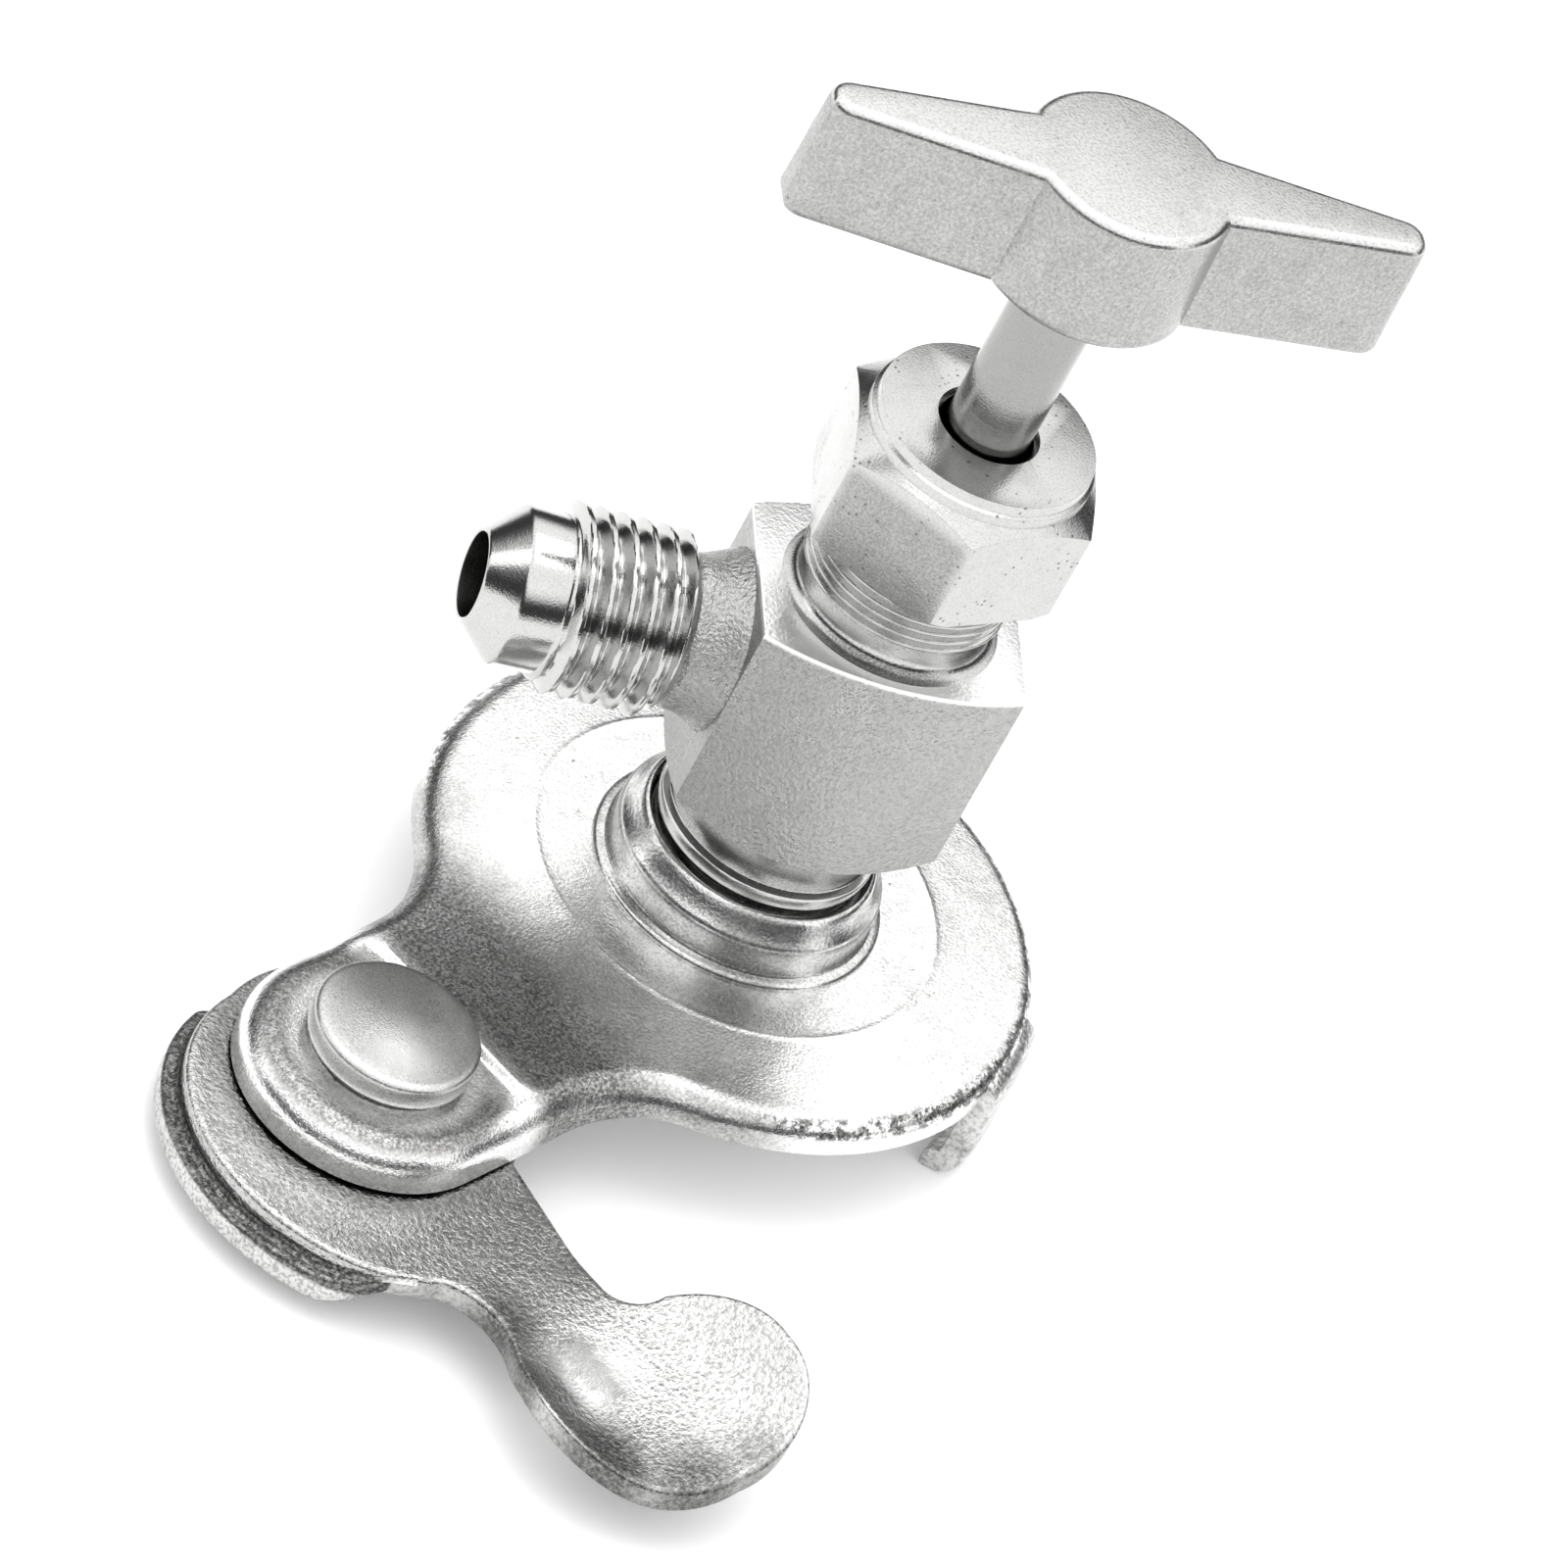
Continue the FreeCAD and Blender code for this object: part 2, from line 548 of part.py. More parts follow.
def piercing_needle():
    collar_top = SPINDLE_NOSE - SEAL_HEIGHT - 2 * ROOM
    collar_bottom = collar_top - NEEDLE_COLLAR
    return turned([(0, NEEDLE_TIP), (0.1, NEEDLE_TIP), (NEEDLE_R, NEEDLE_TIP + NEEDLE_POINT),
                   (NEEDLE_R, collar_bottom), (NEEDLE_COLLAR_R, collar_bottom),
                   (NEEDLE_COLLAR_R, collar_top), (NEEDLE_R, collar_top),
                   (NEEDLE_R, NEEDLE_TOP), (0, NEEDLE_TOP)])


def seat_seal():
    top = SPINDLE_NOSE - ROOM
    return tube(SEAL_R, NEEDLE_R + FIT, top - SEAL_HEIGHT, top)


def wing(side):
    """One wing, tapering in plan from the hub to a squared end with rounded corners."""
    root = WING_HALF_ROOT
    tip = WING_HALF_TIP
    end = WING_TIP
    soft = WING_CORNER
    cut = soft * (1 - math.sqrt(0.5))
    slope = (root - tip) / (end - HUB_R_TOP)
    shoulder = tip + slope * soft
    plan = [line(V(0, root + slope * HUB_R_TOP, 0), V(end - soft, shoulder, 0)),
            arc(V(end - soft, shoulder, 0), V(end - cut, tip - cut + 0.05, 0), V(end, tip - soft, 0)),
            line(V(end, tip - soft, 0), V(end, -tip + soft, 0)),
            arc(V(end, -tip + soft, 0), V(end - cut, -tip + cut - 0.05, 0), V(end - soft, -shoulder, 0)),
            line(V(end - soft, -shoulder, 0), V(0, -root - slope * HUB_R_TOP, 0)),
            line(V(0, -root - slope * HUB_R_TOP, 0), V(0, root + slope * HUB_R_TOP, 0))]
    return turn(prism(plan, HANDLE_BOTTOM, HANDLE_TOP), side)


def wing_handle():
    hub = Part.makeCone(HUB_R_BOTTOM, HUB_R_TOP, HANDLE_TOP - HANDLE_BOTTOM, V(0, 0, HANDLE_BOTTOM))
    handle = hub.fuse([wing(HANDLE_TURN), wing(HANDLE_TURN + 180)]).removeSplitter()
    handle = rolled(handle.Solids[0], HANDLE_TOP, HANDLE_EDGE)
    socket = Part.makeCylinder(STEM_R, STEM_IN_HANDLE, V(0, 0, HANDLE_BOTTOM))
    return handle.cut(socket)


def can_gasket():
    return tube(GASKET_R, GASKET_HOLE_R, 0.0, STUB_BOTTOM + GASKET_RECESS - ROOM)


save("clamp_plate", clamp_plate())
save("threaded_bush", threaded_bush())
save("pivot_rivet", pivot_rivet())
save("spring_washer", spring_washer())
save("tail_washer", tail_washer())
save("cam_lever", cam_lever())
save("valve_body", valve_body())
save("gland_nut", gland_nut())
packing_stack()
save("spindle", spindle())
save("piercing_needle", piercing_needle())
save("seat_seal", seat_seal())
save("wing_handle", wing_handle())
save("can_gasket", can_gasket())
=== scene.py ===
"""Can-piercing tap valve: nickel-plated clamp plate, cam lever, valve body, outlet and wing handle.

Angles in plan are degrees from +X.
"""
import bpy
import bmesh
import json
import math
import numpy as np
from mathutils import Matrix, Vector
from mathutils.geometry import delaunay_2d_cdt
from mathutils.kdtree import KDTree

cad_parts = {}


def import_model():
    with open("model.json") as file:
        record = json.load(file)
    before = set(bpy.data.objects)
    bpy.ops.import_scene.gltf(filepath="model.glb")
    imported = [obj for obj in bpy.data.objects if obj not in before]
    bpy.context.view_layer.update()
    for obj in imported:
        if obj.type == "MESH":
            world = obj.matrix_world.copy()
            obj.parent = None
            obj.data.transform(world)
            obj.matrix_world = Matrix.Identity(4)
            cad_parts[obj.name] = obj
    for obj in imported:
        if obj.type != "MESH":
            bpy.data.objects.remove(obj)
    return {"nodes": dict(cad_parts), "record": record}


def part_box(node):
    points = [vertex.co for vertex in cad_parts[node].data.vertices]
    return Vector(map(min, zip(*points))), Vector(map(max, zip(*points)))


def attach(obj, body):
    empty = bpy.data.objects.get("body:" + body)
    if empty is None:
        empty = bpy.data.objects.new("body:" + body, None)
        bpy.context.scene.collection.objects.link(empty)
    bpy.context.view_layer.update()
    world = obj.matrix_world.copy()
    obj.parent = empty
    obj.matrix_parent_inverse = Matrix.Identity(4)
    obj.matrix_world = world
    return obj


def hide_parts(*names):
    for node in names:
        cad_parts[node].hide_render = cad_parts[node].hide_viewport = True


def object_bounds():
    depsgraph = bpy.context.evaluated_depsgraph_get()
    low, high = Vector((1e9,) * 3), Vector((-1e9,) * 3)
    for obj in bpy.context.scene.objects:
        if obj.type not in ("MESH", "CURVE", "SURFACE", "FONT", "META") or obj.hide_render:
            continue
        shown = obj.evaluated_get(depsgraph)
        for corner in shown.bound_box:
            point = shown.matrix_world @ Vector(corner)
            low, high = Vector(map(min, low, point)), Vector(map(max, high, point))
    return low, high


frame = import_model()
cad_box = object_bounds()
BODY_OF = {n: b for b, members in frame["record"]["behaviour"]["bodies"].items() for n in members}
SLOT_OF = {s["node"]: s["material_slot"] for s in frame["record"]["subparts"]}
MM = 0.001
TAU = 2 * math.pi


# ------------------------------------------------------------------ driving dimensions

PLATE_TOP = 4.6                 # upper face of the clamp plate
SHEET = 1.8                     # its thickness
RIM_TOP = PLATE_TOP - 0.5
DISC_R, ARM_HALF, ARM_FILLET = 19.1, 8.2, 9.0
FLAT_R, FALL_WIDTH = 12.5, 6.6  # flat centre of the disc, and the sloping ring round it
CREASE_X = -24.4                # where the arm steps down to the rivet's land
LAND_STEP, ARM_SAG = 0.6, 0.22
CLAW_ANGLE = 67.5               # either side of +X
PIVOT_X = -29.5                 # axis of rivet and lever
RIVET_R, RIVET_HEAD = 3.0, 2.4
TAIL_WASHER = 0.7
BUSH_HOLE_R, BUSH_BORE = 7.9, 6.85
LEVER_TOP, LEVER_SHEET = PLATE_TOP - 4.15, 1.5
HEAD_R = 9.3
CAM_FROM, CAM_TO = 107.0, 225.0
TAB_LINE, TAB_BEND = -100.0, 32.0
TAB_CORNER = (1.9, -18.7)
TAB_R, TAB_MID = 6.2, (7.3, 1.05)
BODY_TURN, NUT_TURN, HANDLE_TURN = 137.55, 42.3, 140.0
BLOCK_LOW, BLOCK_TOP = PLATE_TOP + 7.6, PLATE_TOP + 22.9
NECK_TOP = PLATE_TOP + 33.0
OUTLET_Z, OUTLET_LENGTH = PLATE_TOP + 17.15, 22.98
NUT_FLATS = 14.29
NUT_LOW, NUT_TOP = PLATE_TOP + 28.6, PLATE_TOP + 37.1
STEM_R = 2.5
HANDLE_LOW, HANDLE_TOP = PLATE_TOP + 49.2, PLATE_TOP + 57.1
WING_REACH = 17.7


# ------------------------------------------------------------------ materials

class Graph:
    """Small helper that adds and joins shader nodes."""

    def __init__(self, name):
        self.mat = bpy.data.materials.new(name)
        self.mat.use_nodes = True
        self.tree = self.mat.node_tree
        self.shader = self.tree.nodes["Principled BSDF"]
        self.place = self.tree.nodes.new("ShaderNodeTexCoord").outputs["Object"]

    def link(self, a, b):
        self.tree.links.new(a, b)

    def noise(self, size_mm, detail=3.0, rough=0.5, stretch=None):
        n = self.tree.nodes.new("ShaderNodeTexNoise")
        n.inputs["Scale"].default_value = 1000.0 / size_mm
        n.inputs["Detail"].default_value = detail
        n.inputs["Roughness"].default_value = rough
        place = self.place
        if stretch:
            m = self.tree.nodes.new("ShaderNodeMapping")
            m.inputs["Scale"].default_value = stretch
            self.link(place, m.inputs["Vector"])
            place = m.outputs["Vector"]
        self.link(place, n.inputs["Vector"])
        return n.outputs["Fac"]

    def along(self, axis):
        """Distance along an axis, in metres."""
        n = self.tree.nodes.new("ShaderNodeSeparateXYZ")
        self.link(self.place, n.inputs[0])
        return n.outputs[axis]

    def distance(self, x_mm, y_mm):
        """Distance in plan from a point, in metres."""
        n = self.tree.nodes.new("ShaderNodeVectorMath")
        n.operation = "MULTIPLY_ADD"
        n.inputs[1].default_value = (1.0, 1.0, 0.0)
        n.inputs[2].default_value = (-x_mm * MM, -y_mm * MM, 0.0)
        self.link(self.place, n.inputs[0])
        m = self.tree.nodes.new("ShaderNodeVectorMath")
        m.operation = "LENGTH"
        self.link(n.outputs[0], m.inputs[0])
        return m.outputs["Value"]

    def away(self, x_mm, y_mm, near_mm, far_mm):
        """1 near a point of the plan, fading to 0 at the far distance."""
        return self.ramp(self.distance(x_mm, y_mm), near_mm * MM, far_mm * MM, 1.0, 0.0)

    def band(self, value, edges_mm):
        """1 between the two middle values, fading to 0 at the outer two."""
        a, b, c, d = (e * MM for e in edges_mm)
        return self.times(self.ramp(value, a, b), self.ramp(value, c, d, 1.0, 0.0))

    def cells(self, size_mm):
        n = self.tree.nodes.new("ShaderNodeTexVoronoi")
        n.inputs["Scale"].default_value = 1000.0 / size_mm
        self.link(self.place, n.inputs["Vector"])
        return n.outputs["Distance"]

    def ramp(self, value, low, high, a=0.0, b=1.0):
        n = self.tree.nodes.new("ShaderNodeMapRange")
        n.interpolation_type = "SMOOTHSTEP"
        n.inputs["From Min"].default_value = low
        n.inputs["From Max"].default_value = high
        n.inputs["To Min"].default_value = a
        n.inputs["To Max"].default_value = b
        self.link(value, n.inputs["Value"])
        return n.outputs["Result"]

    def maths(self, op, a, b):
        n = self.tree.nodes.new("ShaderNodeMath")
        n.operation = op
        for value, s in ((a, n.inputs[0]), (b, n.inputs[1])):
            if isinstance(value, float):
                s.default_value = value
            else:
                self.link(value, s)
        return n.outputs[0]

    def times(self, a, b):
        return self.maths("MULTIPLY", a, b)

    def mix(self, factor, a, b):
        n = self.tree.nodes.new("ShaderNodeMix")
        n.data_type = "RGBA"
        self.link(factor, n.inputs[0])
        for value, s in ((a, n.inputs[6]), (b, n.inputs[7])):
            if isinstance(value, tuple):
                s.default_value = (*value, 1.0)
            else:
                self.link(value, s)
        return n.outputs[2]

    def bump(self, height, strength, distance_mm, normal=None):
        n = self.tree.nodes.new("ShaderNodeBump")
        if isinstance(strength, float):
            n.inputs["Strength"].default_value = strength
        else:
            self.link(strength, n.inputs["Strength"])
        n.inputs["Distance"].default_value = distance_mm * MM
        self.link(height, n.inputs["Height"])
        if normal:
            self.link(normal, n.inputs["Normal"])
        return n.outputs["Normal"]


SPECK = (0.13, 0.13, 0.125)
# dark grey of the darker masks: real grime, and painted shade where a mask stands for shade
GRIME_AND_SHADE = (0.07, 0.07, 0.068)
# near-white of the lighter masks: a smoother finish, and painted highlight
POLISH_AND_HIGHLIGHT = (0.97, 0.97, 0.965)
PIT = (0.16, 0.15, 0.14)
RUST = (0.22, 0.15, 0.11)


def plated(name, bright=(0.72, 0.72, 0.715), dull=(0.42, 0.42, 0.415), rough=(0.10, 0.24),
           grain=(0.12, 0.02), speck=0.15, wave=0.15, pits=0.0, stain=0.25, rust=0.0, turned=0.0,
           dark=None, lighter=None):
    """Nickel plate with stains, grain (size, depth) and waves; pits, rust and lathe lines if asked for.

    Two optional functions give the masks of darker zones (real grime, and painted shade) and of lighter
    zones (a smoother finish, and painted highlight).
    """
    g = Graph(name)
    g.shader.inputs["Metallic"].default_value = 1.0
    blotch = g.ramp(g.noise(5.0, 4.0, 0.6), 0.35, 0.75)
    cloud = g.ramp(g.noise(1.1, 3.0, 0.6), 0.30, 0.80)
    stained = g.times(g.times(blotch, cloud), stain * 2.0)
    colour = g.mix(stained, bright, dull)
    rough_out = g.maths("ADD", g.ramp(g.noise(2.3, 4.0, 0.6), 0.3, 0.8, rough[0], rough[1]),
                        g.times(stained, 0.15))
    fine = g.noise(grain[0], 2.0, 0.6)
    colour = g.mix(g.ramp(fine, 0.36, 0.56, speck, 0.0), colour, SPECK)
    # darker zones: real grime, and painted shade
    if dark:
        zone = g.times(dark(g), g.ramp(g.noise(grain[0] * 1.1, 4.0, 0.75), 0.36, 0.62, 0.55, 1.0))
        colour = g.mix(zone, colour, GRIME_AND_SHADE)
        rough_out = g.maths("ADD", rough_out, g.times(zone, 0.15))
    depth = 1.0
    # lighter zones: a smoother finish, and painted highlight
    if lighter:
        brightened = lighter(g)
        colour = g.mix(brightened, colour, POLISH_AND_HIGHLIGHT)
        depth = g.ramp(brightened, 0.0, 1.0, 1.0, 0.12)
    normal = g.bump(fine, depth, grain[1])
    slow = g.noise(3.5, 2.0, 0.5)
    normal = g.bump(slow, wave, 0.25, normal)
    if turned:
        lines = g.noise(0.35, 2.0, 0.7, (0.02, 0.02, 1.0))
        normal = g.bump(lines, turned, 0.03, normal)
    if pits:
        hole = g.times(g.ramp(g.cells(0.5), 0.10, 0.24, 1.0, 0.0),
                       g.ramp(g.noise(2.2, 2.0, 0.5), 0.50, 0.58))
        colour = g.mix(g.times(hole, pits), colour, PIT)
        normal = g.bump(hole, -pits, 0.08, normal)
    if rust:
        spot = g.times(g.ramp(g.noise(0.5, 5.0, 0.75), 0.60, 0.68),
                       g.ramp(g.noise(6.0, 2.0, 0.5), 0.52, 0.62))
        spot = g.times(spot, rust)
        colour = g.mix(spot, colour, RUST)
        rough_out = g.maths("ADD", rough_out, g.times(spot, 0.4))
    g.link(colour, g.shader.inputs["Base Color"])
    g.link(rough_out, g.shader.inputs["Roughness"])
    g.link(normal, g.shader.inputs["Normal"])
    return g.mat


def strongest(g, masks):
    out = masks[0]
    for mask in masks[1:]:
        out = g.maths("MAXIMUM", out, mask)
    return out


def plate_wear_and_painted_shade(g):
    """Darker grey: painted shade across the arm, painted reflection of the valve body on the disc beside
    the bush, a darker band round the rivet's land, and real wear on the rim.
    """
    x = g.along("X")
    # painted shade across the arm
    masks = [g.times(g.band(x, (-25.0, -22.8, -18.5, -12.0)), 0.92)]
    # painted reflection of the valve body on the disc beside the bush
    for px, py, near, far, much in ((-8.2, -7.0, 0.3, 3.6, 0.6), (-13.5, -12.5, 1.0, 6.0, 0.62),
                                    (-15.0, 13.5, 1.0, 6.0, 0.55)):
        masks.append(g.times(g.away(px, py, near, far), much))
    land = g.band(g.distance(PIVOT_X, 0.0), (5.4, 6.5, 7.1, 7.9))
    land = g.times(land, g.ramp(x, -27.0 * MM, -24.5 * MM, 0.85, 0.0))
    worn = g.times(g.band(g.distance(0.0, 0.0), (17.9, 18.5, 19.2, 19.6)),
                   g.ramp(g.noise(0.8, 5.0, 0.8), 0.46, 0.53))
    worn = g.times(worn, g.ramp(x, -17.0 * MM, -10.0 * MM))
    worn = g.times(worn, g.ramp(g.along("Z"), 3.1 * MM, 3.4 * MM))
    return strongest(g, masks + [land, worn])


def lever_painted_shade(g):
    """Painted shade under the plate's edge, at the neck's bend and round the lower edge of the tab."""
    masks = [g.times(g.away(PIVOT_X, 0.0, 8.3, 10.6), 0.6)]
    for x, y, near, far, much in ((-4.8, -16.6, 0.4, 3.4, 0.85), (-7.4, -20.6, 0.3, 2.4, 0.8),
                                  (-6.8, -27.0, 0.8, 4.6, 0.9), (-3.0, -30.6, 0.8, 4.6, 0.85),
                                  (0.8, -31.2, 0.4, 3.2, 0.6)):
        masks.append(g.times(g.away(PIVOT_X + x, y, near, far), much))
    return strongest(g, masks)


def lever_painted_highlight(g):
    """Painted highlight where the thumb meets the tab."""
    return g.away(PIVOT_X - 3.1, -21.8, 1.2, 4.4)


def block_polish(g):
    """The block's top face was turned smooth."""
    return g.ramp(g.along("Z"), (PLATE_TOP + 22.45) * MM, (PLATE_TOP + 22.75) * MM, 0.0, 0.75)


def rivet_dark(g):
    """The far side of the rivet's head is darker."""
    return g.times(g.away(PIVOT_X + 1.6, 3.7, 0.8, 4.2), 0.5)


def rivet_near_side_lighter(g):
    """The near side of the rivet's head is lighter."""
    return g.times(g.away(PIVOT_X - 1.4, -2.0, 0.4, 3.4), 0.55)


def bush_dark(g):
    """A darker patch on the collar, towards the rivet."""
    return g.times(g.away(-5.8, -5.6, 0.8, 3.8), 0.6)


def cam_dark(g):
    """Dark tarnish with painted shade on the drawn wall above the lip."""
    return g.band(g.along("Z"), (-1.55, -1.2, -0.1, 0.25))


def nut_dark(g):
    """One flat of the gland nut is darker than the others."""
    high = g.ramp(g.along("Z"), (PLATE_TOP + 34.0) * MM, (PLATE_TOP + 35.2) * MM, 0.5, 0.0)
    return g.times(g.away(-7.9, -1.7, 3.6, 4.6), high)


def handle_sides_painted_shade(g):
    """Painted shade on the sides of the handle, darker than its top."""
    z = HANDLE_TOP
    return g.times(g.band(g.along("Z"), (z - 12.0, z - 11.0, z - 0.6, z - 0.3)), 0.46)


def stub_dark(g):
    """Painted shade on the neck between the stub's ring and the block, under the block."""
    return g.times(g.band(g.along("Z"), (PLATE_TOP + 5.4, PLATE_TOP + 5.5, PLATE_TOP + 8.0,
                                                     PLATE_TOP + 9.0)), 0.55)


def neck_dark(g):
    """Brushed face round the upper neck."""
    z = BLOCK_TOP
    return g.times(g.band(g.along("Z"), (z - 1.0, z - 0.9, z + 0.25, z + 0.6)),
                   g.ramp(g.distance(-5.6, -4.2), 2.5 * MM, 5.5 * MM, 0.8, 0.1))


def soft(name, base, other, rough=(0.5, 0.7), grain_mm=0.3, metallic=0.0):
    """Rubber, polymer or brass: two-tone mottling with a fine grain."""
    g = Graph(name)
    g.shader.inputs["Metallic"].default_value = metallic
    colour = g.mix(g.ramp(g.noise(1.5, 4.0, 0.6), 0.3, 0.7), base, other)
    g.link(colour, g.shader.inputs["Base Color"])
    g.link(g.ramp(g.noise(0.8, 3.0, 0.5), 0.3, 0.7, rough[0], rough[1]), g.shader.inputs["Roughness"])
    g.link(g.bump(g.noise(grain_mm, 3.0, 0.6), 0.3, 0.03), g.shader.inputs["Normal"])
    return g.mat


PLATED = {
    "plated_plate": dict(bright=(0.90, 0.90, 0.895), dull=(0.52, 0.52, 0.515), grain=(0.18, 0.03),
                         speck=0.24, wave=0.35, stain=0.25, rust=0.8, rough=(0.12, 0.26), dark=plate_wear_and_painted_shade),
    "plated_bush": dict(turned=0.2, grain=(0.2, 0.018), speck=0.3, stain=0.5, rough=(0.14, 0.28),
                        dark=bush_dark),
    "plated_rivet": dict(bright=(0.60, 0.60, 0.595), grain=(0.12, 0.02), speck=0.3, stain=0.5,
                         rough=(0.22, 0.34), dark=rivet_dark, lighter=rivet_near_side_lighter),
    "spring_steel": dict(bright=(0.5, 0.5, 0.51), dull=(0.35, 0.35, 0.36)),
    "plated_washer": dict(bright=(0.62, 0.62, 0.62)),
    "plated_lever": dict(bright=(0.55, 0.55, 0.545), dull=(0.38, 0.38, 0.375), grain=(0.28, 0.08),
                         speck=0.4, wave=0.3, stain=0.3, rough=(0.14, 0.26), dark=lever_painted_shade,
                         lighter=lever_painted_highlight),
    "plated_body": dict(grain=(0.20, 0.05), wave=0.1, stain=0.2, rough=(0.22, 0.34)),
    "plated_nut": dict(bright=(0.58, 0.58, 0.575), pits=0.9, grain=(0.15, 0.012), stain=0.2,
                       rough=(0.14, 0.24), dark=nut_dark),
    "plated_spindle": dict(bright=(0.36, 0.36, 0.355), dull=(0.28, 0.28, 0.275), turned=0.3,
                           grain=(0.12, 0.01), rough=(0.12, 0.22)),
    "steel_needle": dict(bright=(0.5, 0.5, 0.51), turned=0.3),
    "plated_handle": dict(bright=(0.66, 0.66, 0.655), pits=0.4, grain=(0.18, 0.016), speck=0.2, wave=0.08,
                          stain=0.2, rough=(0.2, 0.3), dark=handle_sides_painted_shade),
    "sand_cast": dict(bright=(0.47, 0.47, 0.465), dull=(0.36, 0.36, 0.355), grain=(0.26, 0.16), speck=0.16,
                      wave=0.1, stain=0.12, rough=(0.26, 0.38), lighter=block_polish),
    # near-black painted shade inside the outlet's bore
    "bore_painted_shade": dict(bright=(0.06, 0.058, 0.055), dull=(0.03, 0.03, 0.03), turned=0.3, rough=(0.35, 0.5)),
    "machined": dict(bright=(0.58, 0.58, 0.575), turned=0.15, grain=(0.12, 0.008), rough=(0.08, 0.16),
                     stain=0.15),
    "stub_turned": dict(bright=(0.60, 0.60, 0.595), turned=0.1, grain=(0.12, 0.008), rough=(0.06, 0.14),
                        stain=0.15, dark=stub_dark),
    "neck_turned": dict(bright=(0.58, 0.58, 0.575), turned=0.1, grain=(0.12, 0.015), rough=(0.07, 0.16),
                        stain=0.15, dark=neck_dark),
    "sheared": dict(grain=(0.35, 0.07), speck=0.4, wave=0.6, stain=0.6, rust=0.6, rough=(0.2, 0.4)),
    "cam_wall": dict(grain=(0.24, 0.05), speck=0.5, stain=0.5, rough=(0.2, 0.34), dark=cam_dark),
}
SOFT = {
    "brass_washer": dict(base=(0.74, 0.56, 0.25), other=(0.60, 0.44, 0.20), rough=(0.25, 0.4),
                         metallic=1.0),
    "packing": dict(base=(0.86, 0.86, 0.82), other=(0.78, 0.78, 0.73)),
    "seal_polymer": dict(base=(0.80, 0.78, 0.70), other=(0.70, 0.68, 0.60)),
    "gasket_rubber": dict(base=(0.02, 0.02, 0.02), other=(0.035, 0.035, 0.035)),
}
MATS = {name: plated(name, **look) for name, look in PLATED.items()}
MATS.update((name, soft(name, **look)) for name, look in SOFT.items())


def dress_cad():
    """Every CAD node that stays in view gets its procedural finish."""
    for name, node in frame["nodes"].items():
        node.data.materials.clear()
        node.data.materials.append(MATS[SLOT_OF[name]])


# ------------------------------------------------------------------ mesh tools (millimetres)

def polar(radius, degrees):
    a = math.radians(degrees)
    return (radius * math.cos(a), radius * math.sin(a))


def smooth(a, b, x):
    t = min(1.0, max(0.0, (x - a) / (b - a)))
    return t * t * (3 - 2 * t)


def arc3(a, m, b, count):
    """Points from a towards b on the circle through a, m and b; b itself is left out."""
    (ax, ay), (mx, my), (bx, by) = a, m, b
    d = 2 * (ax * (my - by) + mx * (by - ay) + bx * (ay - my))
    sa, sm, sb = ax * ax + ay * ay, mx * mx + my * my, bx * bx + by * by
    cx = (sa * (my - by) + sm * (by - ay) + sb * (ay - my)) / d
    cy = (sa * (bx - mx) + sm * (ax - bx) + sb * (mx - ax)) / d
    r = math.hypot(ax - cx, ay - cy)
    t0, tm, t1 = (math.atan2(y - cy, x - cx) for x, y in (a, m, b))
    sweep = (t1 - t0) % TAU
    if (tm - t0) % TAU > sweep:
        sweep -= TAU
    return [(cx + r * math.cos(t0 + sweep * i / count), cy + r * math.sin(t0 + sweep * i / count))
            for i in range(count)]


def straight(a, b, count):
    return [(a[0] + (b[0] - a[0]) * i / count, a[1] + (b[1] - a[1]) * i / count) for i in range(count)]


def clean_mesh(name, verts, faces, place=None):
    """Mesh of points in millimetres, with doubles merged and its normals outward."""
    mesh = bpy.data.meshes.new(name)
    mesh.from_pydata([(x * MM, y * MM, z * MM) for x, y, z in verts], [], faces)
    if place:
        mesh.transform(place)
    bm = bmesh.new()
    bm.from_mesh(mesh)
    bmesh.ops.remove_doubles(bm, verts=bm.verts, dist=1e-7)
    bmesh.ops.recalc_face_normals(bm, faces=bm.faces)
    bm.to_mesh(mesh)
    bm.free()
    return mesh


def piece(name, verts, faces, node, place=None, sharp=35.0, mat=None):
    """A mesh piece that stands for a CAD node, in that node's body and finish."""
    finish_piece(name, clean_mesh(name, verts, faces, place), node, sharp, mat)


def finish_piece(name, mesh, node, sharp=35.0, mat=None):
    mesh.shade_smooth()
    mesh.set_sharp_from_angle(angle=math.radians(sharp))
    mesh.materials.clear()
    mesh.materials.append(mat or MATS[SLOT_OF[node]])
    thing = bpy.data.objects.new(name, mesh)
    bpy.context.scene.collection.objects.link(thing)
    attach(thing, BODY_OF[node])
    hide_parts(node)


def grid(rows, closed_rows=False, closed_cols=True):
    """Vertices and quads of a grid of points."""
    n, m = len(rows), len(rows[0])
    verts = [p for row in rows for p in row]
    faces = []
    for i in range(n if closed_rows else n - 1):
        for j in range(m if closed_cols else m - 1):
            a, b = i, (i + 1) % n
            c, d = j, (j + 1) % m
            faces.append((a * m + c, a * m + d, b * m + d, b * m + c))
    return verts, faces


def caps(rows):
    """End faces of a grid whose rows are closed loops."""
    m = len(rows[0])
    return [tuple(range(m))[::-1], tuple(range(m * (len(rows) - 1), m * len(rows)))]


def circles(profile, segments=128):
    """A circle of points about Z for each (radius, height)."""
    return [[(*polar(r, 360 * j / segments), z) for j in range(segments)] for r, z in profile]


def lathe(profile, segments=160, closed=True):
    """Body of revolution about Z of (radius, height) points."""
    return grid(circles(profile, segments), closed_rows=closed)


